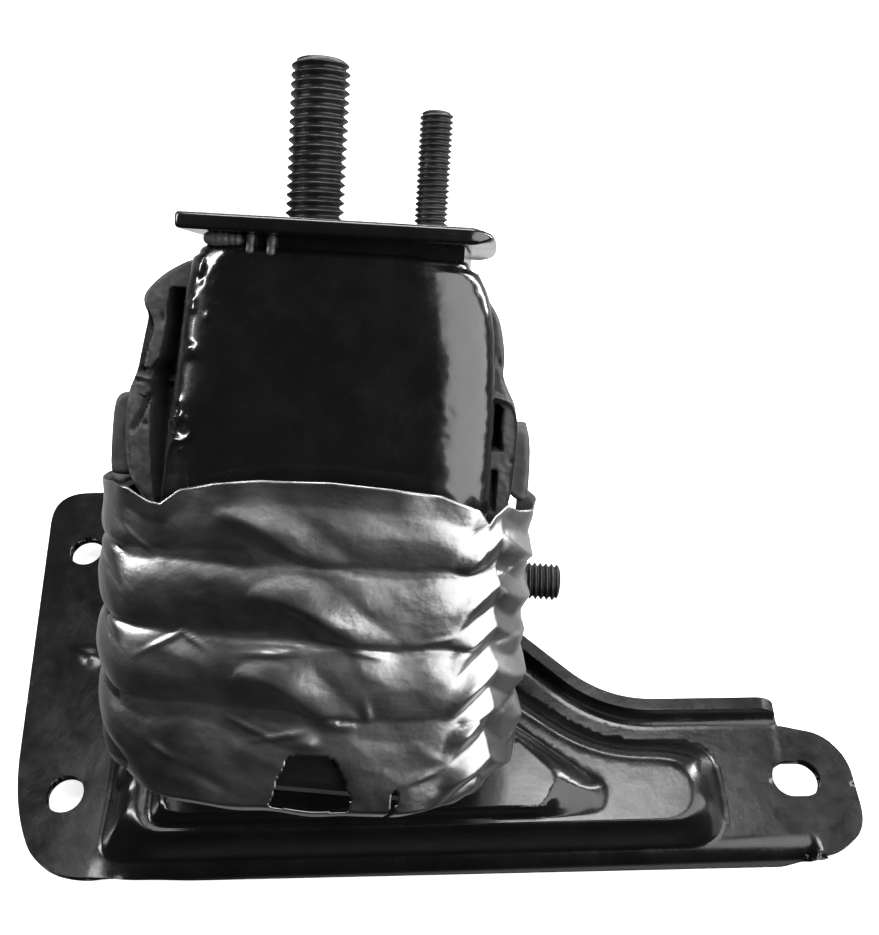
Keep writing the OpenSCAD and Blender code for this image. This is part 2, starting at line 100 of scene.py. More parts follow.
def from_saddle(points):
    """Saddle frame (x, depth v, height z) to row frame: turn by YAW, then move sideways only."""
    return turn(points, YAW) + np.array([ORIGIN[0], ORIGIN[1], 0.0])


# %% [markdown]
# ## Meshes from arrays
#
# A surface is a grid of points with rows and columns. `grid_piece` joins neighbours into quads and
# can close either direction. `place` puts a finished piece on the root body, gives it its material
# and hides the CAD nodes it stands for.

# %% Mesh helpers
def grid_faces(rows, cols, wrap):
    """Quads (i, j), (i, j+1), (i+1, j+1), (i+1, j) of a grid; wrap joins the last column to the first."""
    i = np.arange(rows - 1)[:, None]
    j = np.arange(cols if wrap else cols - 1)[None, :]
    k = (j + 1) % cols
    quads = np.stack([i * cols + j, i * cols + k, (i + 1) * cols + k, (i + 1) * cols + j], -1)
    return quads.reshape(-1, 4)


def mesh_piece(name, points, faces):
    """Make a smooth shaded mesh object from points in millimetres and a list of faces."""
    mesh = bpy.data.meshes.new(name)
    metres = np.asarray(points, float) / 1000.0
    mesh.from_pydata(metres.tolist(), [], [list(map(int, f)) for f in faces])
    mesh.validate()
    mesh.polygons.foreach_set("use_smooth", [True] * len(mesh.polygons))
    piece = bpy.data.objects.new(name, mesh)
    bpy.context.scene.collection.objects.link(piece)
    return piece


def grid_piece(name, grid, wrap=False, caps=False):
    """Make a mesh object from a grid of points, with flat fan caps on the first and last row if asked."""
    rows, cols = grid.shape[:2]
    points = grid.reshape(-1, 3)
    faces = [tuple(f) for f in grid_faces(rows, cols, wrap)]
    if caps:
        points = np.vstack([points, grid[0].mean(0), grid[-1].mean(0)])
        low, high = rows * cols, rows * cols + 1
        faces += [(low, (j + 1) % cols, j) for j in range(cols)]
        last = (rows - 1) * cols
        faces += [(high, last + j, last + (j + 1) % cols) for j in range(cols)]
    piece = mesh_piece(name, points, faces)
    if caps:
        for face in piece.data.polygons[-2 * cols :]:
            face.use_smooth = False
    return piece


def drop_loose_points(piece):
    """Delete the points of a mesh that no face uses any more."""
    work = bmesh.new()
    work.from_mesh(piece.data)
    loose = [p for p in work.verts if not p.link_faces]
    bmesh.ops.delete(work, geom=loose, context="VERTS")
    work.to_mesh(piece.data)
    work.free()


def modifier(piece, kind, name, **settings):
    """Add a modifier and set its values."""
    m = piece.modifiers.new(name, kind)
    for key, value in settings.items():
        setattr(m, key, value)
    return m


def round_edges(piece, name, width, segments, degrees):
    """Bevel the edges that turn by more than some degrees; width is in metres."""
    limit = math.radians(degrees)
    modifier(piece, "BEVEL", name, width=width, segments=segments, limit_method="ANGLE", angle_limit=limit)


def place(piece, material, stands_for=()):
    """Finish a piece: material, body, and the CAD nodes it stands for, which are hidden."""
    piece.data.materials.clear()
    piece.data.materials.append(material)
    if stands_for:
        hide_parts(*stands_for)
    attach(piece, "root")
    return piece


# %% [markdown]
# ## Materials
#
# Each material is a small node graph. Object coordinates feed noise at several scales, and the
# noise moves colour, roughness and bump, because real paint, rubber and foil are never even.
# `graph` returns a few short helpers, so that a recipe reads like a list of steps.

# %% Node helpers
def graph(name):
    """New material with its node tree, Principled shader and object coordinates."""
    material = bpy.data.materials.new(name)
    material.use_nodes = True
    tree = material.node_tree
    shader = tree.nodes["Principled BSDF"]
    where = tree.nodes.new("ShaderNodeTexCoord")
    return material, tree, shader, where.outputs["Object"]


def noise(tree, where, scale, detail=4.0, rough=0.5, stretch=None):
    """Noise value 0 to 1 at a scale in cycles per metre, stretched along an axis if asked."""
    if stretch:
        mapping = tree.nodes.new("ShaderNodeMapping")
        mapping.inputs["Scale"].default_value = stretch
        tree.links.new(where, mapping.inputs["Vector"])
        where = mapping.outputs["Vector"]
    n = tree.nodes.new("ShaderNodeTexNoise")
    n.inputs["Scale"].default_value = scale
    n.inputs["Detail"].default_value = detail
    n.inputs["Roughness"].default_value = rough
    tree.links.new(where, n.inputs["Vector"])
    return n.outputs["Fac"]


def colour(tone):
    """Colour with alpha from a grey number or from three parts."""
    return (*tone, 1.0) if isinstance(tone, tuple) else (tone, tone, tone, 1.0)


def ramp(tree, value, stops):
    """Colour ramp from (position, grey or colour) pairs."""
    r = tree.nodes.new("ShaderNodeValToRGB")
    while len(r.color_ramp.elements) < len(stops):
        r.color_ramp.elements.new(0.5)
    for element, (at, tone) in zip(r.color_ramp.elements, stops):
        element.position = at
        element.color = colour(tone)
    tree.links.new(value, r.inputs["Fac"])
    return r.outputs["Color"]


def mix(tree, factor, a, b):
    """Mix two colours or values by a factor that is a socket."""
    m = tree.nodes.new("ShaderNodeMix")
    m.data_type = "RGBA"
    tree.links.new(factor, m.inputs[0])
    for socket, value in ((m.inputs[6], a), (m.inputs[7], b)):
        if hasattr(value, "links"):
            tree.links.new(value, socket)
        else:
            socket.default_value = colour(value)
    return m.outputs[2]


def bump(tree, shader, height, distance, strength=1.0, under=None):
    """Bump from a height socket; distance is in metres."""
    b = tree.nodes.new("ShaderNodeBump")
    b.inputs["Distance"].default_value = distance
    b.inputs["Strength"].default_value = strength
    tree.links.new(height, b.inputs["Height"])
    if under is not None:
        tree.links.new(under, b.inputs["Normal"])
    tree.links.new(b.outputs["Normal"], shader.inputs["Normal"])
    return b.outputs["Normal"]


print("node helpers: noise, ramp, mix and bump")

# %% [markdown]
# ## Black paint
#
# The sheet metal was dipped in black paint. A flat black would look like plastic, so the recipe
# adds what dipping leaves: a slow wave in the coat, dust in cloudy patches, a few scratches, and
# chips that show bare steel. The stirrup has the thickest coat, so it gets more wave and a second
# glossy layer.

# %% Black paint
BARE_STEEL = (0.11, 0.105, 0.10)


def black_paint(name, base, gloss, peel=1.0, dust=0.25, coat=0.25):
    """Dipped black paint: dark base with cloudy dust, a wavy coat, fine scratches and bare chips."""
    material, tree, shader, where = graph(name)
    clouds = noise(tree, where, 70.0, 4.0, 0.55)
    grit = noise(tree, where, 900.0, 2.0, 0.6)
    scratch = noise(tree, where, 60.0, 3.0, 0.7, stretch=(1.0, 14.0, 14.0))
    dusty = ramp(tree, clouds, [(0.42, base), (0.75, base * 1.5 + 0.003 * dust)])
    marks = ramp(tree, scratch, [(0.70, 0.0), (0.78, 1.0)])
    paint = mix(tree, marks, dusty, base * 3.2 + 0.012 * dust)
    chips = ramp(tree, noise(tree, where, 210.0, 6.0, 0.75), [(0.735, 0.0), (0.76, 1.0)])
    tree.links.new(mix(tree, chips, paint, BARE_STEEL), shader.inputs["Base Color"])
    rough = ramp(tree, noise(tree, where, 120.0, 4.0, 0.65), [(0.3, gloss), (0.75, gloss + 0.16)])
    tree.links.new(rough, shader.inputs["Roughness"])
    shader.inputs["Specular IOR Level"].default_value = 0.45
    shader.inputs["Coat Weight"].default_value = coat
    shader.inputs["Coat Roughness"].default_value = 0.12
    wave = bump(tree, shader, noise(tree, where, 150.0, 2.0, 0.4), 0.00035 * peel, 0.35)
    bump(tree, shader, grit, 0.00006, 0.5, under=wave)
    return material


gloss_black = black_paint("gloss_black_paint", 0.004, 0.17, peel=2.4, coat=0.8)
plate_black = black_paint("plate_black_paint", 0.005, 0.17, peel=0.8, dust=0.35)
satin_black = black_paint("satin_black_paint", 0.009, 0.34, peel=0.7, dust=0.5)
print("paints: gloss, plate and satin")

# %% [markdown]
# ## Rubber
#
# Rubber from a mould is nearly black and dull, with a grey bloom that old rubber sweats out and a
# surface of tiny pits. Noise of three sizes gives these: the bloom is colour, the ripple and the
# pits are bump.

# %% Rubber
def moulded_rubber(name):
    """Matt rubber: dark grey with a pale bloom, fine pitting and soft mould ripple."""
    material, tree, shader, where = graph(name)
    bloom = ramp(tree, noise(tree, where, 55.0, 6.0, 0.65), [(0.35, 0.026), (0.7, 0.060)])
    tree.links.new(bloom, shader.inputs["Base Color"])
    dull = ramp(tree, noise(tree, where, 90.0, 3.0), [(0.3, 0.42), (0.7, 0.62)])
    tree.links.new(dull, shader.inputs["Roughness"])
    shader.inputs["Specular IOR Level"].default_value = 0.5
    ripple = bump(tree, shader, noise(tree, where, 120.0, 4.0, 0.6), 0.0007, 0.5)
    bump(tree, shader, noise(tree, where, 1500.0, 2.0, 0.5), 0.00008, 0.6, under=ripple)
    return material


rubber = moulded_rubber("moulded_rubber")
print("rubber:", rubber.name)

# %% [markdown]
# ## Foil and steel
#
# The heat shield is bare aluminium foil, so it is fully metallic, and its brightness comes from
# what it mirrors. Patches of haze and a wrinkle bump that is stretched across the foil break up
# the mirror. The studs are oiled steel: darker, streaked along their length, and less clean. Welds
# share the black paint, with a paler base where the paint is thin.

# %% Foil and steel
def bright_foil(name):
    """Aluminium foil: bright metal with hazy patches, directional streaks and tiny wrinkles."""
    material, tree, shader, where = graph(name)
    haze = noise(tree, where, 30.0, 5.0, 0.6)
    silver = ramp(tree, haze, [(0.3, (0.22, 0.22, 0.225)), (0.7, (0.46, 0.46, 0.465))])
    tree.links.new(silver, shader.inputs["Base Color"])
    shader.inputs["Metallic"].default_value = 1.0
    dull = ramp(tree, noise(tree, where, 45.0, 4.0, 0.6), [(0.3, 0.26), (0.7, 0.42)])
    tree.links.new(dull, shader.inputs["Roughness"])
    crossed = noise(tree, where, 120.0, 4.0, 0.5, stretch=(1.0, 1.0, 2.2))
    wrinkle = bump(tree, shader, crossed, 0.0008, 0.30)
    bump(tree, shader, noise(tree, where, 700.0, 3.0, 0.5), 0.0002, 0.25, under=wrinkle)
    return material


def dark_steel(name, tone):
    """Oiled steel: dark metal with streaks, duller in patches."""
    material, tree, shader, where = graph(name)
    streak = noise(tree, where, 160.0, 4.0, 0.6, stretch=(1.0, 1.0, 0.3))
    tree.links.new(ramp(tree, streak, [(0.3, tone), (0.75, tone * 3.0)]), shader.inputs["Base Color"])
    shader.inputs["Metallic"].default_value = 0.85
    dull = ramp(tree, noise(tree, where, 200.0, 3.0), [(0.3, 0.28), (0.7, 0.48)])
    tree.links.new(dull, shader.inputs["Roughness"])
    bump(tree, shader, noise(tree, where, 1300.0, 3.0, 0.6), 0.00006, 0.6)
    return material


foil = bright_foil("bright_foil")
steel = dark_steel("dark_oiled_steel", 0.03)
weld_metal = black_paint("painted_weld", 0.03, 0.35, peel=2.0, dust=1.0)
pale_weld = black_paint("thinly_painted_weld", 0.06, 0.38, peel=3.0, dust=1.0)
print("materials:", len(bpy.data.materials))

# %% [markdown]
# ## Threads
#
# A screw thread is a cylinder whose radius falls and rises once per pitch, with a phase that turns
# with the angle, so the grooves climb. Near the tip the crest radius shrinks to a chamfer, and the
# end closes in a low dome.

# %% Threaded studs
GROOVE_DEPTH = 0.58  # share of the pitch
TURN_ROWS = 10  # rows of points in one turn


def thread(radius, pitch, low, high, dome, around=72):
    """Helix r = R - depth * w(z / pitch - angle / 2 pi), with w a rounded saw between 0 and 1."""
    depth = GROOVE_DEPTH * pitch
    z = np.linspace(low, high, int((high - low) / pitch * TURN_ROWS) + 1)[:, None]
    angle = np.linspace(0, 2 * math.pi, around, endpoint=False)[None, :]
    phase = (z / pitch - angle / (2 * math.pi)) % 1.0
    groove = np.clip(np.abs(phase - 0.5) * 2.0 * 1.25 - 0.12, 0, 1) ** 0.9
    crest = radius - np.clip((z - (high - dome)) / dome, 0, 1) ** 2 * (depth + 0.6)
    r = np.minimum(radius - depth * groove, crest) * np.ones_like(angle)
    rows = [np.stack([r * np.cos(angle), r * np.sin(angle), z * np.ones_like(angle)], -1)]
    end = r[-1].mean()
    for share in (0.8, 0.5, 0.2):
        level = np.full(around, high + 0.12 * end * (1 - share**2))
        ring = [end * share * np.cos(angle[0]), end * share * np.sin(angle[0]), level]
        rows.append(np.stack(ring, -1)[None])
    return np.concatenate(rows, 0)


def upright_stud(name, x, y, radius, pitch, length, node):
    """Threaded stud standing on the top plate at (x, y) of the body frame, rooted a little inside it."""
    root = -3.2
    grid = thread(radius, pitch, root, length - 0.25 * radius, 0.9 * pitch)
    piece = grid_piece(name, from_body(grid + np.array([x, y, 0.0])), wrap=True, caps=True)
    return place(piece, steel, (node,))


STUD_Y = -3.0
SIDE_STUD_X, SIDE_STUD_V, SIDE_STUD_Z = 38.0, -40.6, 47.3
studs = [  # name, x, y, radius, pitch, length and node
    upright_stud("main_stud_thread", -7.7, STUD_Y, 6.65, 2.0, 35.5, "main_stud"),
    upright_stud("locating_stud_thread", 18.8, STUD_Y, 3.8, 1.25, 25.0, "locating_stud"),
]
side_grid = thread(5.0, 1.5, 2.0, 18.6, 1.2)
lying = [SIDE_STUD_X + side_grid[..., 2], SIDE_STUD_V + side_grid[..., 1], SIDE_STUD_Z - side_grid[..., 0]]
side_thread = grid_piece("side_stud_thread", from_saddle(np.stack(lying, -1)), wrap=True, caps=True)
studs.append(place(side_thread, steel, ("side_stud",)))
print("thread points:", [len(stud.data.vertices) for stud in studs])

# %% [markdown]
# ## The pressed base plate
#
# The plate is drawn flat first, as an outline with holes that is filled with points. A function
# then bends the flat drawing: the back edge turns up round a small radius, the front edge turns
# down, and the rib and its platform rise by a smooth step between two outlines.

# %% Outlines of the plate
SHEET = 3.5
PLATE = [[-3, -23], [213, -20], [222.3, -13.5], [221.8, 6.5], [216, 13.8], [206.5, 16], [204, 22.4],
         [153.5, 22.4], [66.7, 103.8], [-24, 103.8], [-13.8, -2]]
PLATE_ROUND = [14, 5, 7, 5, 4, 2, 2, 14, 10, 12, 14]
RIB_LOW = [[12, -19.4], [184, -17.6], [184, 11.5], [151, 12.6], [62, 79], [6, 79], [13, 2]]
RIB_HIGH = [[25, -15.5], [172.5, -14.2], [172.5, 0.5], [146, 1.5], [57, 68], [19, 68], [24, 4]]
DECK_LOW = [[28, -14.4], [149, -13.4], [151, -4], [141, 1.5], [57, 64], [23, 64], [27, 4]]
DECK_HIGH = [[33, -12.4], [132, -12.4], [136, -4], [130, 3], [54, 59], [29, 59], [32, 4]]


def soften(corners, radii, count=10):
    """Round every corner c by (1-t)^2 s + 2 t (1-t) c + t^2 e, with s and e a radius away on its edges."""
    p = np.array(corners, float)
    rounded = []
    for i, c in enumerate(p):
        a, b = p[i - 1], p[(i + 1) % len(p)]
        la, lb = np.linalg.norm(a - c), np.linalg.norm(b - c)
        s = c + (a - c) / la * min(radii[i], 0.48 * la)
        e = c + (b - c) / lb * min(radii[i], 0.48 * lb)
        t = np.linspace(0, 1, count)[:, None]
        rounded.append(s * (1 - t) ** 2 + c * 2 * t * (1 - t) + e * t**2)
    return np.vstack(rounded)


def spaced(line, step, closed=True):
    """Points along a line at an even spacing near the step."""
    p = np.vstack([line, line[:1]]) if closed else np.asarray(line)
    run = np.concatenate([[0], np.cumsum(np.linalg.norm(np.diff(p, axis=0), axis=1))])
    count = max(int(run[-1] / step), 3)
    at = np.linspace(0, run[-1], count, endpoint=not closed)
    return np.stack([np.interp(at, run, p[:, k]) for k in range(2)], -1)


def nearest(points, line, closed=True):
    """Distance from points to a line, with the foot point and the run along the line at each foot."""
    a = line if closed else line[:-1]
    b = np.roll(line, -1, 0) if closed else line[1:]
    size = np.linalg.norm(b - a, axis=1)
    start = np.concatenate([[0], np.cumsum(size)])[:-1]
    best = np.full(len(points), 1e9)
    foot = np.zeros((len(points), 2))
    run = np.zeros(len(points))
    for p, q, l, s in zip(a, b, size, start):
        if l < 1e-9:
            continue
        t = np.clip(((points - p) @ (q - p)) / l**2, 0, 1)
        f = p + t[:, None] * (q - p)
        d = np.linalg.norm(points - f, axis=1)
        near = d < best
        best[near], foot[near], run[near] = d[near], f[near], (s + t * l)[near]
    return best, foot, run


def inside(points, line):
    """True for points inside a closed outline, by counting crossings to the right."""
    x, y = points[:, 0], points[:, 1]
    result = np.zeros(len(points), bool)
    for (x0, y0), (x1, y1) in zip(line, np.roll(line, -1, 0)):
        crosses = (y0 > y) != (y1 > y)
        if y1 != y0:
            result ^= crosses & (x < (x1 - x0) * (y - y0) / (y1 - y0) + x0)
    return result


print("plate corners:", len(PLATE), "rib corners:", len(RIB_LOW))

# %% [markdown]
# ## Rib and platform
#
# A press pushes the rib and its platform up out of the sheet. Each rises between two outlines, a
# low one at its foot and a high one at its shoulder. The height at a point follows from its two
# distances, so the wall is steep where the outlines are close and gentle where they are far
# apart, as in the real pressing. The same function adds the weld blob, the dimple and the crease
# that show on this plate.

# %% Heights of the pressing
RIB_HEIGHT, DECK_HEIGHT = 13.5, 6.0
FOOT_SOFT = 0.004
rib_low = soften(RIB_LOW, [8, 11, 10, 12, 12, 12, 8])
rib_high = soften(RIB_HIGH, [8, 9, 9, 14, 10, 8, 8])
deck_low = soften(DECK_LOW, [5, 4, 4, 8, 5, 5, 6])
deck_high = soften(DECK_HIGH, [4, 3, 3, 6, 5, 5, 6])


def step_between(points, low, high):
    """Share w of the way from a low outline (w = 0) in to a high outline (w = 1), from both distances."""
    d_low = np.where(inside(points, low), nearest(points, low)[0], 0.0)
    d_high = np.where(inside(points, high), 0.0, nearest(points, high)[0])
    return d_low / np.maximum(d_low + d_high, 1e-9)


def pressing(points):
    """Height of the top surface: sheet, rib, platform on the rib, and small marks."""
    w = step_between(points, rib_low, rib_high)
    start, end = math.sqrt(FOOT_SOFT), math.sqrt(1 + FOOT_SOFT)
    foot = (np.sqrt(w**2 + FOOT_SOFT) - start) / (end - start)
    rise = 1 - (1 - foot) ** 1.9
    d = step_between(points, deck_low, deck_high)
    deck = d * d * (3 - 2 * d)
    x, y = points[:, 0], points[:, 1]
    z = SHEET + RIB_HEIGHT * rise + DECK_HEIGHT * deck
    blob = 0.9 * np.exp(-(((x + 0.5) / 2.6) ** 2 + ((y - 42.0) / 2.2) ** 2) ** 1.3)
    blob += 0.5 * np.exp(-(((x + 3.6) / 1.5) ** 2 + ((y - 43.8) / 1.1) ** 2))
    ring = np.hypot((x - 19.0) / 4.2, (y - 2.2) / 5.0)
    dimple = -0.9 * np.exp(-((ring / 0.75) ** 4)) + 0.5 * np.exp(-(((ring - 1.0) / 0.22) ** 2))
    crease = 0.18 * np.exp(-(((x - 203.3 - 0.1 * (y - 8)) / 1.0) ** 2)) * np.clip((y - 4) / 6, 0, 1)
    return z + blob + dimple + crease


print("height on the platform:", round(float(pressing(np.array([[80.0, 0.0]]))[0]), 2), "mm")

# %% [markdown]
# ## Turned edges
#
# Stamped brackets get their stiffness from turned edges. The slanting edge behind the arm turns
# up and the long front edge turns down. Both are bent from the flat drawing: a point past the
# start of the bend runs round a quarter circle, and whatever is left of its distance goes
# straight on. `foot` is the nearest point of the line and q the distance past it.

# %% Bent edges
CORNER = 12  # points on each rounded corner of the outline
BEND = 6.0  # outer radius of both bends, and how far before the outline they start
outer = soften(PLATE, PLATE_ROUND, CORNER)
UP_LINE = np.vstack([[[203.8, 22.4]], outer[CORNER * 7 : CORNER * 8 + 1]])
DOWN_LINE = outer[[CORNER - 1, CORNER]]
ON_LINE = 0.2  # a point further than this from its own normal lies past the line's end


def ease(v, a, b):
    """Smooth step from 0 at a to 1 at b."""
    t = np.clip((v - a) / (b - a), 0, 1)
    return t * t * (3 - 2 * t)


def right_of(steps):
    """Unit vectors a quarter turn to the right of the steps (x, y): (y, -x) over the length."""
    return np.stack([steps[:, 1], -steps[:, 0]], -1) / np.linalg.norm(steps, axis=1)[:, None]


def side_of(points, foot, line):
    """Signed distance of points from a line, positive on its right hand side, and the outward normal."""
    to_start = np.linalg.norm(foot[:, None] - line[None, :-1], axis=2)
    to_end = np.linalg.norm(foot[:, None] - line[None, 1:], axis=2)
    along = (line[1:] - line[:-1])[np.argmin(to_start + to_end, axis=1)]
    normal = right_of(along)
    return ((points - foot) * normal).sum(1), normal


def turned_up(points, z):
    """Edge behind the arm: height z + r (1 - cos a), sideways r sin a, with the top skin inside."""
    inner = BEND - SHEET
    _, foot, run = nearest(points, UP_LINE, closed=False)
    q, n = side_of(points, foot, UP_LINE)
    total = np.linalg.norm(np.diff(UP_LINE, axis=0), axis=1).sum()
    d = np.clip(q + BEND, 0, None)
    a = np.minimum(d / inner, math.pi / 2)
    out = -BEND + inner * np.sin(a)
    up = z + inner * (1 - np.cos(a)) + np.clip(d - inner * math.pi / 2, 0, None)
    away = np.linalg.norm(points - foot - n * q[:, None], axis=1)
    share = (1 - ease(run, total - 9, total - 2)) * (d > 0) * (away < ON_LINE)
    return np.column_stack([foot + n * out[:, None], up]), share


def turned_down(points, z):
    """Front edge: height z - r (1 - cos a), sideways r sin a, with the top skin outside."""
    _, foot, run = nearest(points, DOWN_LINE, closed=False)
    q, n = side_of(points, foot, DOWN_LINE)
    d = np.clip(q + BEND, 0, None)
    full = math.pi / 2 * ease(run, -1, 26) * (1 - ease(run, 193.5, 197.0))
    a = np.minimum(d / BEND, full)
    rest = np.clip(d - BEND * full, 0, None)
    out = -BEND + BEND * np.sin(a) + rest * np.cos(full)
    down = z - BEND * (1 - np.cos(a)) - rest * np.sin(full)
    away = np.linalg.norm(points - foot - n * q[:, None], axis=1)
    share = (d > 0) * (away < ON_LINE) * (np.abs(q) < 14)
    return np.column_stack([foot + n * out[:, None], down]), share


def bent(points):
    """Flat drawing to top surface: press the heights, then turn the edge up and the other edge down."""
    z = pressing(points)
    result = np.column_stack([points, z])
    for turned, share in (turned_up(points, z), turned_down(points, z)):
        result = result + (turned - result) * share[:, None]
    return result


print("turned edges start", BEND, "mm inside the outline")

# %% [markdown]
# ## The blank
#
# A blank is the flat piece of sheet before it is bent. It is the plate's outline with strips added
# where edges turn, and their widths follow from how far each turned edge should stand. The holes
# are two bolt holes in the ear and a slot in the lobe.

# %% Flat drawing of the plate
UP_STRIP = 2.43  # width of the strip past the outline that becomes the edge turned up
HOLE_R = 5.25
HOLE_PITCH = 81.0  # between the two bolt holes of the ear
HOLE_BACK_X = -9.0
SLOT_Y = 1.0


def flat_outline():
    """Outline of the flat blank: the plate, with the strips that become the turned edges."""
    down = spaced(DOWN_LINE, 1.2, closed=False)
    run = np.linalg.norm(down - DOWN_LINE[0], axis=1)
    depth = np.interp(run, [0, 4, 26, 189.5, 194.5, 196.8], [0, 0.0, 3.6, 8.9, 3.6, 0.0])
    down = down + right_of(DOWN_LINE[1:] - DOWN_LINE[:1]) * depth[:, None]
    up = spaced(UP_LINE, 1.1, closed=False)
    run = np.concatenate([[0], np.cumsum(np.linalg.norm(np.diff(up, axis=0), axis=1))])
    start = np.clip(run / 7.0, 0, 1)
    rise = -BEND + (BEND + UP_STRIP) * np.sqrt(1 - (1 - start) ** 2)
    finish = np.clip((run[-1] - 2 - run) / 9.0, 0, 1)
    rise = np.where(run > run[-1] - 11, UP_STRIP * np.sqrt(1 - (1 - finish) ** 2), rise)
    up = up + right_of(np.gradient(up, axis=0)) * rise[:, None]
    lobe, ear = outer[CORNER + 1 : CORNER * 5 + 1], outer[CORNER * 8 + 2 :]
    return np.vstack([down, lobe, [[205.4, 16.3]], up, ear, outer[: CORNER - 1]])


def ring_line(x, y, radius, count=44):
    """Circle of points."""
    a = np.linspace(0, 2 * math.pi, count, endpoint=False)
    return np.stack([x + radius * np.cos(a), y + radius * np.sin(a)], -1)


blank = spaced(flat_outline(), 1.1)
half = np.linspace(-math.pi / 2, math.pi / 2, 22)
slot = np.vstack([
    np.stack([207.5 + HOLE_R * np.cos(half), SLOT_Y + HOLE_R * np.sin(half)], -1),
    np.stack([204.5 - HOLE_R * np.cos(half), SLOT_Y - HOLE_R * np.sin(half)], -1),
])
hole_back_y = math.sqrt(HOLE_PITCH**2 - HOLE_BACK_X**2)
holes = [ring_line(0, 0, HOLE_R), ring_line(HOLE_BACK_X, hole_back_y, HOLE_R), slot]
print("blank outline points:", len(blank), "holes:", len(holes))

# %% [markdown]
# ## Filling the blank
#
# The blank is filled with triangles, and where its points lie decides how clean the bends look.
# An even grid serves the flat parts. Rows that run beside the bends, and rings round the rib,
# serve the curved parts. The narrow front wall gets a fine regular grid of its own.

# %% Points inside the blank
WALL_X = (14.0, 184.0)
WALL_Y = (-20.4, -11.2)
WALL_SLOPE = 0.0105
WALL_STEP_X, WALL_STEP_Y = 0.8, 0.32
GRID_STEP = 1.25
CLEAR = 0.55  # least distance of a filling point from an outline
SPACE = 0.62  # least distance between two filling points


def in_wall(points, rim):
    """True for points in the slanting band of the front wall, widened by rim."""
    x, y = points[:, 0], points[:, 1] - (points[:, 0] - WALL_X[0]) * WALL_SLOPE
    along = (x > WALL_X[0] - 2 * rim) & (x < WALL_X[1] + 2 * rim)
    return along & (y > WALL_Y[0] - rim) & (y < WALL_Y[1] + rim)


def lattice_points(x_from, x_to, x_step, y_from, y_to, y_step):
    """Points of a plain grid, row after row."""
    gx, gy = np.meshgrid(np.arange(x_from, x_to, x_step), np.arange(y_from, y_to, y_step))
    return np.stack([gx.ravel(), gy.ravel()], -1)


def fill_points():
    """Even grid, rows beside both bends, and rings on the walls of the rib, all clear of the outlines."""
    rows = []
    for line, low, high, step in ((UP_LINE, -7.0, 2.2, 0.55), (DOWN_LINE, -7.0, 8.6, 0.7)):
        base = spaced(line, 1.2, closed=False)
        normal = right_of(np.gradient(base, axis=0))
        rows += [base + normal * q for q in np.arange(low, high, step)]
    for low, high, count in ((rib_low, rib_high, 15), (deck_low, deck_high, 8)):
        rows += [spaced(low * (1 - w) + high * w, GRID_STEP) for w in np.linspace(0, 1, count)]
    others = np.vstack([*rows, lattice_points(-26, 224, GRID_STEP, -33, 105, GRID_STEP)])
    others = others[~in_wall(others, 0.3)]
    front_wall = lattice_points(*WALL_X, WALL_STEP_X, *WALL_Y, WALL_STEP_Y)
    front_wall[:, 1] += (front_wall[:, 0] - WALL_X[0]) * WALL_SLOPE
    points = np.vstack([others, front_wall])
    ok = inside(points, blank)
    for line in [blank, *holes]:
        ok &= nearest(points, line)[0] > CLEAR
    for line in holes:
        ok &= ~inside(points, line)
    wall = ok & (np.arange(len(points)) >= len(others))
    return np.vstack([thinned(points[ok & ~wall], SPACE), points[wall]])


def thinned(points, space):
    """Keep points in order, leaving out each one that lies closer than space to one kept before."""
    cells, kept = {}, []
    for p in points:
        i, j = int(p[0] // space), int(p[1] // space)
        near = (q for a in (-1, 0, 1) for b in (-1, 0, 1) for q in cells.get((i + a, j + b), ()))
        if all((p[0] - q[0]) ** 2 + (p[1] - q[1]) ** 2 >= space * space for q in near):
            cells.setdefault((i, j), []).append(p)
            kept.append(p)
    return np.array(kept)


filling = fill_points()
print("filling points:", len(filling))

# %% [markdown]
# ## From points to a closed sheet
#
# A constrained Delaunay filling joins the points with triangles that keep the outlines as edges.
# The top is bent, the underside is the top moved back along its normal by the sheet's thickness,
# and a rim closes the two. `filled` and `two_skins` serve the rubber pieces further down too.

# %% Closed sheets
def filled(loops, extra, kind):
    """Triangles over closed loops and extra points, all turned anticlockwise."""
    edges, start = [], 0
    for loop in loops:
        n = len(loop)
        edges += [(start + i, start + (i + 1) % n) for i in range(n)]
        start += n
    points = np.vstack([*loops, extra])
    flat, _, triangles, *_ = delaunay_2d_cdt([Vector(p) for p in points], edges, [], kind, 1e-5)
    flat = np.array([list(p) for p in flat])
    triangles = np.array([list(t) for t in triangles])
    a, b, c = (flat[triangles[:, k]] for k in range(3))
    sign = (b[:, 0] - a[:, 0]) * (c[:, 1] - a[:, 1]) - (b[:, 1] - a[:, 1]) * (c[:, 0] - a[:, 0])
    triangles[sign < 0] = triangles[sign < 0][:, ::-1]
    return flat, triangles


def two_skins(top, low, triangles):
    """Points and faces of a body with the same triangles above and below, closed by a rim."""
    n = len(top)
    sides = {(int(t[i]), int(t[(i + 1) % 3])): 1 for t in triangles for i in range(3)}
    rim = [side for side in sides if side[::-1] not in sides]
    faces = [tuple(t) for t in triangles] + [tuple(t[::-1] + n) for t in triangles]
    faces += [(b, a, a + n, b + n) for a, b in rim]
    return np.vstack([top, low]), faces


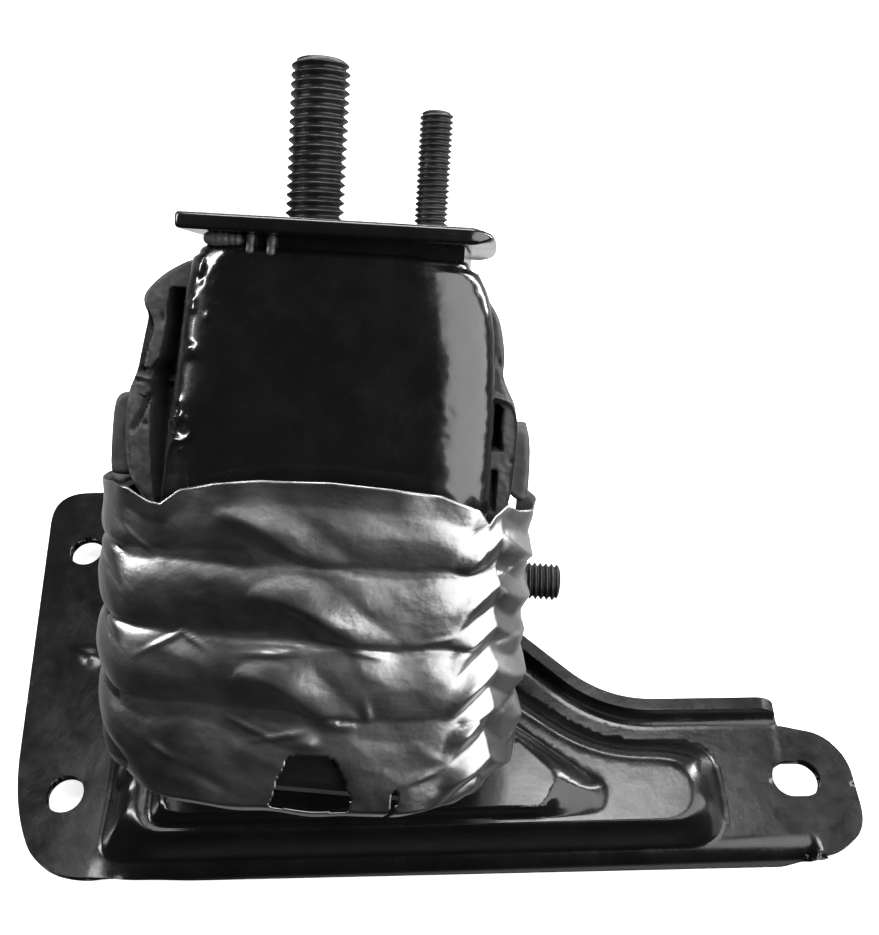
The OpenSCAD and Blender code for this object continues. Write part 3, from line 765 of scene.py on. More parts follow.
def plate_mesh():
    """Fill the blank, bend the top, move the underside back along the normal, and close the rims."""
    flat, triangles = filled([blank, *holes], filling, 0)
    centre = flat[triangles].mean(1)
    keep = inside(centre, blank)
    for line in holes:
        keep &= ~inside(centre, line)
    top = bent(flat)
    h = 0.02
    du = bent(flat + [h, 0]) - bent(flat - [h, 0])
    dv = bent(flat + [0, h]) - bent(flat - [0, h])
    normal = np.cross(du, dv)
    normal /= np.maximum(np.linalg.norm(normal, axis=1), 1e-12)[:, None]
    return two_skins(top, top - SHEET * normal, triangles[keep])


plate_points, plate_faces = plate_mesh()
plate = mesh_piece("pressed_base_plate", plate_points, plate_faces)
round_edges(plate, "rounded_rims", 0.0004, 2, 55)
place(plate, plate_black, ("base_plate",))
print("plate faces:", len(plate_faces))

# %% [markdown]
# ## The crinkled heat shield
#
# The foil is a sheet wrapped round an oval, open at the back. It was quilted in four rows, so its
# relief is a row of pillows with sharp seams, crossed by slanting folds. The right end has
# chevrons, the left end a chain of lens shaped dents, and a faint crumple covers everything.

# %% Path of the foil
SHIELD_A, SHIELD_B = 48.3, 32.7  # half width and half depth of the oval
OVAL = 0.74  # 1 gives an ellipse, and less squares it off
HOUSE_X, HOUSE_Y = -2.9, -4.0
FROM, TO = math.radians(-203.0), math.radians(23.0)


def signed_power(v, p):
    """sign(v) |v|^p, which squares off a circle into an oval with flat sides."""
    return np.sign(v) * np.abs(v) ** p


def even_angles(count):
    """Angles between FROM and TO whose points lie at even spacing along the oval."""
    t = np.linspace(FROM, TO, 6000)
    x, y = SHIELD_A * signed_power(np.cos(t), OVAL), SHIELD_B * signed_power(np.sin(t), OVAL)
    run = np.concatenate([[0], np.cumsum(np.hypot(np.diff(x), np.diff(y)))])
    return np.interp(np.linspace(0, run[-1], count), run, t), run[-1]


def lattice(u, v, size_u, size_v, seed):
    """Smooth value noise from -1 to 1 on a lattice of cells size_u by size_v in millimetres."""
    rng = np.random.default_rng(seed)
    table = rng.uniform(-1, 1, (64, 64))
    a, b = u / size_u, v / size_v
    i, j = np.floor(a).astype(int), np.floor(b).astype(int)
    p, q = a - i, b - j
    p, q = p * p * (3 - 2 * p), q * q * (3 - 2 * q)
    pick = lambda m, n: table[m % 64, n % 64]
    low = pick(i, j) * (1 - p) + pick(i + 1, j) * p
    high = pick(i, j + 1) * (1 - p) + pick(i + 1, j + 1) * p
    return low * (1 - q) + high * q


def bump_at(u, v, at_u, at_v, size_u, size_v, slant=0.0):
    """Rounded bump exp(-d^2) of a tilted ellipse."""
    du, dv = u - at_u, v - at_v
    return np.exp(-(((du + slant * dv) / size_u) ** 2) - (((dv - slant * du) / size_v) ** 2))


print("the foil runs over", round(math.degrees(TO - FROM)), "degrees of the oval")

# %% [markdown]
# ## Folds of the foil
#
# The relief is a sum of small shapes, each a formula in the run s along the foil, the height z and
# the place x. Rows of pillows come first, then three long twisted folds across the front. The
# chevrons of the right end and the chain of the left end fade out round the back, where a plain
# crumple takes over. Short zigzag creases and thumb marks finish it.

# %% Relief of the foil
SEAMS = np.array([-129.5, -106.5, -90.0, -74.0, -54.0])
TWISTS = (  # x and z of the upper end, x and z of the lower end
    (-20.0, -64.0, 10.0, -73.5),
    (-12.0, -80.0, 20.0, -90.0),
    (-14.0, -97.0, 14.0, -107.0),
)
CREASES = (  # x, z, half length and slope
    (-29, -92, 4.5, 0.7),
    (-25, -90.5, 4.0, -0.5),
    (-13, -108.5, 7, -0.35),
    (-4, -110.5, 5, 0.25),
    (-34, -72.5, 3.5, -0.8),
    (27, -88, 3.0, 0.3),
    (-6, -92.5, 5, 0.1),
    (12, -91, 4, -0.2),
)
MARKS = (  # height, x, z, half width, half height and slant
    (0.8, 1.5, -111.5, 2.4, 1.6, 0.0),
    (-0.5, -19, -122, 5.5, 1.3, -0.45),
    (0.7, -29.5, -116.5, 3.2, 0.9, -0.6),
    (0.6, 26, -118, 4.0, 0.8, 0.5),
    (0.5, 14, -104.5, 1.0, 3.0, 0.3),
)


def twisted_ridge(x, z, from_x, from_z, to_x, to_z):
    """Long lens shaped fold from one point down to another, sharp above and falling gently below."""
    length = math.hypot(to_x - from_x, to_z - from_z)
    ux, uz = (to_x - from_x) / length, (to_z - from_z) / length
    along = ((x - from_x) * ux + (z - from_z) * uz) / length
    off = -(x - from_x) * uz + (z - from_z) * ux - 1.6 * np.sin(math.pi * np.clip(along, -0.2, 1.2) * 2)
    belly = np.clip(np.sin(math.pi * np.clip(along, 0, 1)), 0, 1) ** 0.8
    above = np.clip(1 - off / (1.5 + 6.0 * belly), 0, 1)
    gentle = above * above * (3 - 2 * above) * 0.5 + above * 0.5
    return belly * np.where(off > 0, gentle, np.exp(-((off / 1.9) ** 2)))


def pillows(s, z):
    """Puff of the quilted rows, sin of the way to the nearer seam, and the groove along each seam."""
    wander = 1.2 * lattice(s, z * 0, 17, 1, 11) + 0.5 * lattice(s, z * 0, 6, 1, 12)
    height = z + wander * np.clip((z + 128) / 8, 0, 1)
    row = np.clip(np.searchsorted(SEAMS, height, side="right") - 1, 0, 3)
    v = (height - SEAMS[row]) / (SEAMS[row + 1] - SEAMS[row])
    lean = 0.5 + 0.10 * lattice(s, z * 0 + row * 3.0, 22, 1, 19)
    way = np.minimum(np.clip(v / lean, 0, 1), np.clip((1 - v) / (1 - lean), 0, 1))
    puff = np.where(row == 0, 0.9, 1.7) * np.sin(0.5 * math.pi * way) ** 0.85
    groove = -0.45 * np.exp(-((np.minimum(v, 1 - v) / 0.05) ** 2)) * (row > 0)
    return puff, groove


def end_folds(s, z, x, side, turn):
    """Chevrons of the right end and chain of the left end, each with its share of the surface."""
    right = ease(x, 29.0, 34.0) * (side > 0) * (1 - ease(turn, -0.25, 0.35))
    left = ease(-x, 37.0, 43.0) * (side < 0) * (1 - ease(turn, -0.1, 0.5))
    uneven = 1.5 * lattice(s, z, 19, 13, 24)
    chevron = np.abs((z + uneven + 0.9 * np.abs(x - 38.0)) / 9.5 % 1.0 * 2 - 1)
    chevron = chevron * (1 + 0.35 * lattice(s, z, 9, 11, 25))
    chain = np.abs(np.sin(math.pi * (z + 0.5 * (x + 46)) / 13.0)) ** 0.7
    return right, left, 2.4 * chevron * right + 0.9 * chain * left


def crumple(s, z, turn):
    """Slow dents less sharp creases, rougher towards the back."""
    rough = 1 + 0.9 * ease(turn, -0.3, 0.4)
    slow = 0.40 * rough * lattice(s, z, 23, 9, 14) + 0.16 * lattice(s + z, z - 0.4 * s, 8, 5, 15)
    sharp = 0.30 * rough * np.abs(lattice(s, z + 0.35 * s, 15, 7, 16))
    return slow - (sharp + 0.10 * np.abs(lattice(s + 0.8 * z, z, 7, 4, 17)))


def small_marks(x, z):
    """Thumb marks and short slanting creases of the front."""
    height = sum(tall * bump_at(x, z, *where) for tall, *where in MARKS)
    for at_x, at_z, half, slope in CREASES:
        off = (z - at_z - slope * (x - at_x)) / 0.55
        height = height + 0.55 * np.exp(-(((x - at_x) / half) ** 2) - off**2)
    return height


def relief(s, z, x, side, turn):
    """Outward relief in mm at run s, height z, place x; side runs -1 left to 1 right, turn is 1 behind."""
    wide, groove = pillows(s, z)
    front = np.clip(1 - (np.abs(side) / 0.86) ** 8, 0, 1)
    for twist in TWISTS:
        wide = wide + 1.7 * twisted_ridge(x, z, *twist) * front
    right, left, folds = end_folds(s, z, x, side, turn)
    wide = wide * (1 - 0.65 * right - 0.6 * left) + folds
    return wide + crumple(s, z, turn) + groove + small_marks(x, z) * front - 0.6


print("folds:", len(TWISTS), "long,", len(CREASES), "short, and", len(MARKS), "marks")

# %% [markdown]
# ## The sheet of foil
#
# The foil's points lie on the oval, moved outwards by the relief. Its top edge is ragged, flares a
# little and dips near both front corners. The bottom tucks in under the cup. At the four corners
# of the oval it stands further out, which leaves room for the cup inside.

# %% Shape of the foil
RAGGED = np.array([  # x and z along the front of the upper edge
    [-53, -61.5], [-48, -61], [-43, -60], [-37, -60.2], [-33, -62.5], [-30.5, -62.8], [-27, -59.5],
    [-20, -57.6], [-10, -56.2], [4, -55.6], [16, -56.2], [26, -57.2], [33, -60.2], [35.2, -63.4],
    [36.5, -61.5], [39, -59.6], [42, -61.3], [45, -62],
])
FOIL_BOTTOM = -128.9
CORNER_AT, CORNER_ROOM = 0.74, 1.7  # where the corners of the oval lie, and the room left there


def top_edge(x, t):
    """Height of the ragged upper edge, with a notch near each front corner."""
    front = np.interp(x, RAGGED[:, 0], RAGGED[:, 1])
    back = -61.8 + 0.5 * np.sin(t * 9)
    return np.where(np.sin(t) < 0, front, back)


rows, cols = 124, 372
angles, foil_run = even_angles(cols)
v, t = np.meshgrid(np.linspace(0, 1, rows), angles, indexing="ij")
s = np.linspace(0, foil_run, cols)[None, :] * np.ones((rows, 1))
cx, cy = signed_power(np.cos(t), OVAL), signed_power(np.sin(t), OVAL)
x0 = HOUSE_X + SHIELD_A * cx
top = top_edge(x0, t)
low = FOIL_BOTTOM + 0.7 * lattice(s, s * 0, 9, 1, 21)
z = low + (top - low) * v
side = cx * np.where(np.sin(t) < 0, 1, 1.2)
puff = relief(s, z, x0, side, np.sin(t)) * np.clip((1 - v) * 7, 0, 1) * np.clip(v * 9, 0, 1)
puff = puff * np.clip(1.2 - 0.6 * (np.sin(t) > 0.2), 0, 1)
corner_gap = CORNER_ROOM * np.exp(-(((np.abs(cx) - CORNER_AT) / 0.19) ** 2))
puff = np.maximum(puff, -0.5) * (1 - 0.2 * corner_gap / CORNER_ROOM) + corner_gap
flare = 0.9 * np.clip((v - 0.93) / 0.07, 0, 1) * (1 + lattice(s, s * 0, 7, 1, 23))
round_under = 7.5 * ease(np.abs(cx), 0.5, 0.9) * np.clip(1 - (z - low) / 15.0, 0, 1) ** 2
tuck = -3.0 * np.clip(1 - v / 0.03, 0, 1) - round_under
out = puff + flare + tuck
grid = np.stack([HOUSE_X + (SHIELD_A + out) * cx, HOUSE_Y + (SHIELD_B + out) * cy, z], -1)
print("foil relief mm:", round(float(puff.min()), 2), "to", round(float(puff.max()), 2))

# %% [markdown]
# ## The tear
#
# The foil of this mount is torn at the front of its lower edge: a ragged notch with rounded
# shoulders, and a slit beside it. Faces whose points lie inside a wandering outline are left out,
# and only then does the foil get its thickness, so that the torn edge is as thick as the rest.

# %% Torn edge of the foil
spread = np.abs(x0 - 3.0 - 0.3 * lattice(z, z * 0, 3.0, 1, 31))
notch_half = 8.6 - 3.2 * np.clip((z + 127) / 12, 0, 1) ** 1.6 + 0.5 * lattice(z, z * 0, 2.2, 1, 32)
notch_top = -114.4 - 1.6 * (spread / 6.0) ** 4
torn = (spread < notch_half) & (z < notch_top) & (z > -126.6)
torn |= (np.abs(x0 - 20.8 - 0.1 * (z + 121)) < 0.4) & (z < -121.5)
torn &= np.sin(t) < 0
faces = grid_faces(rows, cols, False)
lost = torn.ravel()[faces].sum(1) > 1
skin = mesh_piece("heat_shield_foil", from_body(grid.reshape(-1, 3)), faces[~lost])
drop_loose_points(skin)
modifier(skin, "SOLIDIFY", "foil_thickness", thickness=0.0003, offset=-1.0)
place(skin, foil, ("heat_shield",))
print("foil faces:", len(skin.data.polygons), "torn away:", int(lost.sum()))

# %% [markdown]
# ## The folded stirrup
#
# The stirrup is a tube of rounded sheet round the rubber. Its outline is four elliptic corners
# joined by straight runs, and it changes with the distance h below the roof: the left side leans,
# the right side has a shoulder. Faces inside the two side windows are left out, and the skin is
# then thickened inwards.

# %% Outline of the stirrup
STIR_TOP, STIR_Y, STIR_FRONT, STIR_BACK = -9.0, -3.0, -26.0, 20.0
STIR_LEFT = np.array([  # distance below the roof and place of the left side
    [0, -29.6], [3, -31.0], [9.5, -32.4], [21, -33.5], [30, -34.5], [42, -35.9], [52, -36.6],
    [70, -37.8], [92, -39.6],
])
STIR_RIGHT, SHOULDER = 28.8, 7.6
ROOF_BEND = 1.8
STIR_LENGTH = 92


def corner_arc(x, y, rx, ry, start, count):
    """Quarter ellipse round (x, y) that starts at an angle given in quarter turns."""
    a = (start + np.linspace(0, 1, count)) * math.pi / 2
    return np.stack([x + rx * np.cos(a), y + ry * np.sin(a)], -1)


def stirrup_ring(h, off):
    """Outline h below the roof, moved inward by off, from the left back corner round by the front."""
    left = np.interp(h, STIR_LEFT[:, 0], STIR_LEFT[:, 1]) + off
    right = STIR_RIGHT + SHOULDER * (1 - math.exp(-h / 9.0)) - off
    front, back = STIR_FRONT + off, STIR_BACK - off
    wide, narrow, deep = 14.0 - off * 0.6, 9.4 + 0.02 * h - off * 0.6, 9.0 - off * 0.6
    runs = [
        corner_arc(left + deep, back - deep, deep, deep, 1, 12),
        np.linspace([left, back - deep], [left, front + deep], 12)[1:-1],
        corner_arc(left + narrow, front + deep, narrow, deep, 2, 26),
        np.linspace([left + narrow, front], [right - wide, front], 26)[1:-1],
        corner_arc(right - wide, front + deep, wide, deep, 3, 28),
        np.linspace([right, front + deep], [right, back - deep], 12)[1:-1],
        corner_arc(right - deep, back - deep, deep, deep, 0, 12),
        np.linspace([right - deep, back], [left + deep, back], 18)[1:-1],
    ]
    return np.vstack(runs)


print("points round the stirrup:", len(stirrup_ring(0.0, 0.0)))

# %% [markdown]
# ## Paint runs
#
# Thick paint ran over old weld marks on the left corner of the stirrup and dried there in rims,
# drips and rough patches. They catch the light, so they are real relief in the mesh: thin raised
# ellipses, round drops and two patches of noise. The right corner only has a faint unevenness.

# %% Paint on the stirrup
RUNS = (  # height, centre, half sizes and width of the rim
    (0.34, (-31.0, -48.2), (3.1, 2.6), 0.16),
    (0.30, (-31.4, -60.2), (3.3, 9.6), 0.08),
    (0.28, (-31.6, -44.6), (1.0, 2.4), 0.35),
)
DROPS = (  # x, z and radius
    (-28.7, -20.8, 0.7),
    (-29.9, -22.5, 0.55),
    (-28.7, -22.7, 0.55),
    (-25.2, -24.0, 0.6),
    (-30.4, -52.8, 0.5),
)


def ridge(x, z, at, size, width):
    """Thin raised line along an ellipse: exp(-((rho - 1) / width)^2)."""
    rho = np.hypot((x - at[0]) / size[0], (z - at[1]) / size[1])
    return np.exp(-(((rho - 1) / width) ** 2))


def paint_marks(x, z):
    """Height in millimetres of paint runs, drips and rough weld patches on the front left corner."""
    height = sum(tall * ridge(x, z, *rim) for tall, *rim in RUNS)
    for px, pz, size in DROPS:
        height = height + 0.45 * np.exp(-(((x - px) ** 2 + ((z - pz) / 1.3) ** 2) / size**2))
    patch = np.exp(-(((x + 26.6) / 2.6) ** 4 + ((z + 12.5) / 4.6) ** 4))
    height += patch * 0.5 * lattice(x, z, 1.3, 1.5, 51)
    low = np.exp(-(((x + 28.5) / 2.4) ** 4 + ((z + 31.5) / 1.6) ** 4))
    height += low * (0.35 + 0.4 * lattice(x + z, z, 0.9, 1.0, 52))
    edge = ease(x, 20.0, 27.0)
    height += edge * 0.10 * lattice(x, z, 3.0, 4.0, 53) + edge * 0.05 * lattice(x, z, 1.1, 1.5, 54)
    return height


print("paint runs:", len(RUNS), "drops:", len(DROPS))

# %% [markdown]
# ## Folding the stirrup
#
# Rings of the outline are stacked from the roof's rolled rim down to the lower end inside the
# cup. The paint relief moves the front outwards, the faces of both windows are dropped, and a fan
# closes the roof.

# %% Build the stirrup
rings = []
for a in np.linspace(0, 1, 7) * math.pi / 2:
    ring = stirrup_ring(0.0, ROOF_BEND * (1 - math.sin(a)))
    level = STIR_TOP - ROOF_BEND * (1 - math.cos(a))
    rings.append(np.column_stack([ring, np.full(len(ring), level)]))
for h in np.concatenate([np.linspace(ROOF_BEND + 0.9, 62, 96), np.linspace(63, STIR_LENGTH, 18)]):
    ring = stirrup_ring(h, 0.0)
    rings.append(np.column_stack([ring, np.full(len(ring), STIR_TOP - h)]))
shell = np.array(rings)
across = np.roll(shell, -1, 1) - np.roll(shell, 1, 1)
outward = np.stack([across[..., 1], -across[..., 0], np.zeros(across.shape[:2])], -1)
outward /= np.linalg.norm(outward, axis=2)[..., None]
front_only = (shell[..., 1] < -15) & (shell[..., 2] < STIR_TOP - ROOF_BEND)
shell = shell + outward * (paint_marks(shell[..., 0], shell[..., 2]) * front_only)[..., None]
rows, cols = shell.shape[:2]
faces = [tuple(f) for f in grid_faces(rows, cols, True)]
centre = shell.reshape(-1, 3)[np.array(faces)].mean(1)
window = (np.abs(centre[:, 1] - STIR_Y) < 14) & (centre[:, 2] < STIR_TOP - 4.4)
faces = [f[::-1] for f, gone in zip(faces, window) if not gone]
faces += [(rows * cols, j, (j + 1) % cols) for j in range(cols)]
points = np.vstack([shell.reshape(-1, 3), shell[0].mean(0)])
stirrup = mesh_piece("folded_stirrup", from_body(points), faces)
drop_loose_points(stirrup)
modifier(stirrup, "SOLIDIFY", "sheet_thickness", thickness=0.003, offset=-1.0)
round_edges(stirrup, "rolled_rims", 0.0006, 3, 50)
place(stirrup, gloss_black, ("stirrup",))
print("stirrup faces:", len(faces))

# %% [markdown]
# ## Moulded rubber
#
# Rubber pieces reach out through the side windows of the stirrup. Each is an outline in the front
# plane with a relief over it, and the same outline closes it at the back. The edge is rounded by
# a quarter circle just inside the outline.

# %% Moulded bodies
RUBBER_EDGE = 0.9


def smooth_line(corners, passes):
    """Round a closed outline by cutting its corners: points at 1/4 and 3/4 of every side, some passes."""
    p = np.array(corners, float)
    for _ in range(passes):
        q = np.roll(p, -1, 0)
        p = np.stack([0.75 * p + 0.25 * q, 0.25 * p + 0.75 * q], 1).reshape(-1, 2)
    return p


def slab(outline, front, back, relief_of, step=0.45):
    """Closed body from y = front to y = back over an outline in x and z, with relief on its front."""
    line = spaced(outline, step)
    low, high = line.min(0), line.max(0)
    grid = lattice_points(low[0], high[0], step, low[1], high[1], step)
    grid = grid[inside(grid, line)]
    grid = grid[nearest(grid, line)[0] > 0.45 * step]
    flat, triangles = filled([line], grid, 1)
    depth = np.clip(nearest(flat, line)[0] / RUBBER_EDGE, 0, 1)
    edge = RUBBER_EDGE * (1 - np.sqrt(1 - (1 - depth) ** 2))
    y0 = front + edge + relief_of(flat[:, 0], flat[:, 1]) * np.minimum(depth * 2, 1)
    near = np.column_stack([flat[:, 0], y0, flat[:, 1]])
    far = np.column_stack([flat[:, 0], back - edge, flat[:, 1]])
    return two_skins(near, far, triangles)


print("rubber edges are rounded by", RUBBER_EDGE, "mm")

# %% [markdown]
# ## The rubber wings
#
# Both wings show only their front, so their detail is a recess worked out over that front. The
# left wing has a lens shaped lobe, a step under it and a deep gutter beside the stirrup. The
# right one has a lip above a step, and a dark slot. Tiny pits and slow noise keep the faces from
# looking machined.

# %% Reliefs of the wings
WING_LEFT = [  # x and z of the outline, from the crown down
    [-24, -13.0], [-31, -11.2], [-37.4, -14.6], [-41.2, -18.0], [-42.9, -20.4], [-42.7, -22.6],
    [-41.6, -24.6], [-42.3, -28], [-43.4, -34], [-44.0, -37.4], [-46.2, -42.4], [-46.6, -52],
    [-45.8, -60.5], [-42.0, -66], [-41, -70], [-40.5, -98], [-37, -104], [-24, -104],
]
WING_RIGHT = [
    [24, -13.5], [30, -14.2], [33.6, -17.2], [36.0, -21.0], [37.2, -26.3], [37.7, -29.5],
    [37.4, -33.9], [38.9, -37.3], [41.2, -41.4], [41.6, -46], [41.2, -60.5], [39, -64],
    [36.2, -70], [36, -98], [33, -104], [24, -104],
]
PIT_LEFT, PIT_RIGHT = math.sqrt(0.35), math.sqrt(0.3)
GUTTER = np.array([  # height and x of the gutter beside the stirrup
    [-66, -39.2], [-61, -39.8], [-52, -40.6], [-46, -40.6], [-41, -40.4], [-36, -40.0],
    [-34, -38.3], [-28, -37.2], [-21, -36.6], [-18, -36.2],
])


def between(v, a, b, soft):
    """Soft window: 1 between a and b, falling off over soft."""
    return ease(v, a - soft, a) * (1 - ease(v, b, b + soft))


def dip(x, z, at_x, at_z, size_x, size_z):
    """Small round pit of depth 1."""
    return np.exp(-(((x - at_x) / size_x) ** 2 + ((z - at_z) / size_z) ** 2))


def left_relief(x, z):
    """Recess of the left wing's front: lobe, step under it, and a deep gutter by the stirrup."""
    gutter_x = np.interp(z, GUTTER[:, 0], GUTTER[:, 1])
    gutter = 9.0 * ease(x, gutter_x - 0.6, gutter_x + 0.8) * (1 - ease(z, -19.6, -18.2))
    strip = np.interp(z, [-38, -36, -31, -28, -25, -22], [-42.6, -42.5, -41.3, -40.3, -40.8, -42.5])
    behind = 2.2 * (1 - ease(x, strip - 0.25, strip + 0.25)) * between(z, -37.0, -23.4, 0.5)
    lip = -1.5 * np.exp(-(((z + 38.6 + 0.25 * (x + 42)) / 0.8) ** 2))
    step = 1.8 * between(z, -39.4, -36.6, 0.5) + lip
    ledge = -0.8 * np.exp(-(((x + 44.6 + 0.08 * (z + 50)) / 0.7) ** 2)) * (z < -40)
    lower = 1.2 * (1 - ease(z, -40.2, -39.0)) + ledge
    slit = 2.0 * np.exp(-(((x + 43.2 - 0.45 * (z + 47)) / 0.5) ** 2)) * between(z, -50, -43, 1.5)
    pits = 1.2 * dip(x, z, -38.4, -25.2, 0.5, 1.2) + dip(x, z, -42.2, -49.0, PIT_LEFT, PIT_LEFT)
    rough = 0.25 * lattice(x, z, 2.2, 2.6, 61) + 0.1 * lattice(x, z, 0.8, 0.9, 62)
    return gutter + behind + step + lower + slit + pits + rough


def right_relief(x, z):
    """Recess of the right wing's front: a lip above a step, and a dark slot beside the stirrup."""
    slot_x = np.interp(z, [-52, -49.3, -45, -40.5, -39.3], [37.6, 38.2, 37.6, 37.6, 36.6])
    deep = 7.0 * (1 - ease(x, slot_x - 0.6, slot_x + 0.5)) * between(z, -49.6, -39.6, 0.4)
    lip = -1.2 * np.exp(-(((z + 37.9 + 0.3 * (x - 37)) / 0.6) ** 2))
    under = 1.4 * (1 - ease(z, -39.6, -38.0)) + lip
    low_gap = 3.5 * (1 - ease(x, 37.2, 37.8)) * between(z, -63, -54.5, 0.6)
    upper_pit = 1.1 * dip(x, z, 36.4, -30.3, PIT_RIGHT, 1.4 * PIT_RIGHT)
    pits = upper_pit + 0.8 * dip(x, z, 40.6, -52, PIT_RIGHT, PIT_RIGHT)
    rough = 0.25 * lattice(x, z, 2.0, 2.6, 63) + 0.1 * lattice(x, z, 0.8, 0.9, 64)
    return deep + under + low_gap + pits + rough


print("wing corners:", len(WING_LEFT), len(WING_RIGHT))

# %% [markdown]
# ## The spring block
#
# Between the wings a block of rubber fills the stirrup. It is a tower of rounded rectangles that
# grows towards the cup and swells a little, as rubber under load does. Wings and block share one
# mesh, because the real piece is one moulding.

# %% Main rubber
def joined(parts):
    """One list of points and one of faces from several (points, faces) pairs."""
    faces, start = [], 0
    for points, part in parts:
        faces += [tuple(int(k) + start for k in f) for f in part]
        start += len(points)
    return np.vstack([points for points, _ in parts]), faces


def tube(grid):
    """Points and faces of a closed tube from its rings, with a face over each end."""
    rows, cols = grid.shape[:2]
    faces = [tuple(f[::-1]) for f in grid_faces(rows, cols, True)]
    faces += [tuple(range(cols)), tuple(range((rows - 1) * cols, rows * cols))[::-1]]
    return grid.reshape(-1, 3), faces


WING_FRONT, WING_BACK = -15.6, 9.0
BLOCK_X, BLOCK_Y = 27, 19.6
block = soften([[-27, -22.6], [27, -22.6], [27, 16.6], [-27, 16.6]], [4, 4, 4, 4], 8)
levels = np.array([-12.7, -13.4, -16, -30, -46, -62, -78, -94, -103.4, -104.4])
swell = np.array([-1.6, -0.6, 0, -0.8, -1.6, -2.0, -1.6, -0.8, 0, -1.2])
tower = []
for level, grow in zip(levels, swell):
    share = (level + 12.5) / -92.0
    size = np.array([(19 + 8 * share + grow) / BLOCK_X, (BLOCK_Y + grow) / BLOCK_Y])
    ring = (block - [0, STIR_Y]) * size + [0, STIR_Y]
    tower.append(np.column_stack([ring, np.full(len(ring), level)]))
wing_points, wing_faces = joined([
    slab(smooth_line(WING_LEFT[::-1], 2), WING_FRONT, WING_BACK, left_relief),
    slab(smooth_line(WING_RIGHT, 2), WING_FRONT, WING_BACK, right_relief),
    tube(np.array(tower)),
])
spring = mesh_piece("moulded_main_rubber", from_body(wing_points), wing_faces)
round_edges(spring, "soft_corners", 0.0005, 2, 50)
place(spring, rubber, ("main_rubber",))
print("rubber faces:", len(wing_faces))

# %% [markdown]
# ## Bump stops
#
# Two square ended ears of rubber stop the mount when it is pushed far. They are made as the wings
# are, with only a slow unevenness and one shallow upright groove as relief.

# %% Bump stops
EAR_LEFT = [
    [-43.8, -61.0], [-50.0, -61.6], [-51.0, -60.4], [-50.9, -53], [-50.4, -45.4], [-49.4, -43.0],
    [-47.6, -42.2], [-43.8, -42.1],
]
EAR_RIGHT = [
    [38.9, -57.4], [42.4, -61.2], [44.9, -60.8], [44.9, -51], [44.1, -44.8], [42.8, -44.5],
    [41.6, -44.7], [38.9, -43],
]


def ear_relief(x, z):
    """Slow noise and a groove at x = -46.2, which only the left ear has."""
    return 0.2 * lattice(x, z, 2.0, 2.4, 65) + 0.5 * np.exp(-(((x + 46.2) / 0.6) ** 2))


for side_name, outline in (("left", EAR_LEFT[::-1]), ("right", EAR_RIGHT)):
    ear_points, ear_faces = slab(smooth_line(outline, 1), -12.0, 6.0, ear_relief, 0.7)
    ear = mesh_piece(f"bump_stop_{side_name}_ear", from_body(ear_points), ear_faces)
    place(ear, rubber, (f"bump_stop_{side_name}",))
    print(ear.name, "faces:", len(ear_faces))

# %% [markdown]
# ## Top plate
#
# The top plate is a thick sheet. Rings of its outline, moved inwards along a quarter circle, roll
# its upper and lower rims. Its right end is rounded and thins to a lip, as a sheared edge does.

# %% Top plate
PLATE_TOP, PLATE_LOW, PLATE_ROLL = -3.0, -6.5, 0.9
PLATE_EDGE = [
    [-32.0, -29.7], [-30.6, -30.2], [27, -30.2], [32.6, -29.2], [34.2, -25], [33.9, 20], [32.0, 24],
    [-29.5, 24], [-31.6, 23],
]


def sheet_plate(outline, z_low, z_high, roll):
    """Rings of a plate: the rim moves in by r (1 - sin a) while its height moves by r (1 - cos a)."""
    normal = right_of(np.roll(outline, -1, 0) - np.roll(outline, 1, 0))
    turns = np.linspace(0, math.pi / 2, 6)
    rims = [(a, z_high, 1) for a in turns] + [(a, z_low, -1) for a in turns[::-1]]
    grid = []
    for a, z, end in rims:
        ring = outline - normal * roll * (1 - math.sin(a))
        level = z - end * roll * (1 - math.cos(a))
        lip = 0.9 * ease(ring[:, 0], 29.0, 33.9)
        grid.append(np.column_stack([ring, level - end * lip]))
    return np.array(grid)[::-1]


top_grid = sheet_plate(spaced(smooth_line(PLATE_EDGE, 2), 0.9), PLATE_LOW, PLATE_TOP, PLATE_ROLL)
top_plate = grid_piece("top_plate_rolled", from_body(top_grid), wrap=True, caps=True)
place(top_plate, gloss_black, ("top_plate",))
print("top plate rings:", len(top_grid))

# %% [markdown]
# ## Weld beads
#
# A weld is a row of drops that froze one over the next. Each bead is a short tube whose radius
# swells with every drop and wanders a little, flattened towards the sheet. The beads at the crown
# lie under a thinner coat of paint than those of the saddle.

# %% Weld beads
SQUASH = 0.8


def bead(start, end, radius, drops, seed):
    """Rings of a bead: radius R (1 + swell), a bump per drop and slow noise, closing at both ends."""
    rng = np.random.default_rng(seed)
    start, end = np.array(start, float), np.array(end, float)
    along = (end - start) / np.linalg.norm(end - start)
    side = np.cross(along, [0, 0, 1.0]) if abs(along[2]) < 0.9 else np.cross(along, [0, 1.0, 0])
    side /= np.linalg.norm(side)
    up = np.cross(side, along)
    t = np.linspace(0, 1, 14 * drops)
    wander = np.interp(t, np.linspace(0, 1, drops + 1), rng.uniform(-1, 1, drops + 1))
    swell = 1 + 0.07 * np.abs(np.sin(math.pi * drops * t)) - 0.06 + 0.14 * wander
    close = np.sqrt(np.clip(1 - (2 * t - 1) ** 8, 0.02, 1))
    a = np.linspace(0, 2 * math.pi, 18, endpoint=False)
    r = (radius * swell * close)[:, None, None]
    centre = start + t[:, None] * (end - start)
    ring = r * (np.cos(a)[None, :, None] * side + SQUASH * np.sin(a)[None, :, None] * up)
    return centre[:, None, :] + ring


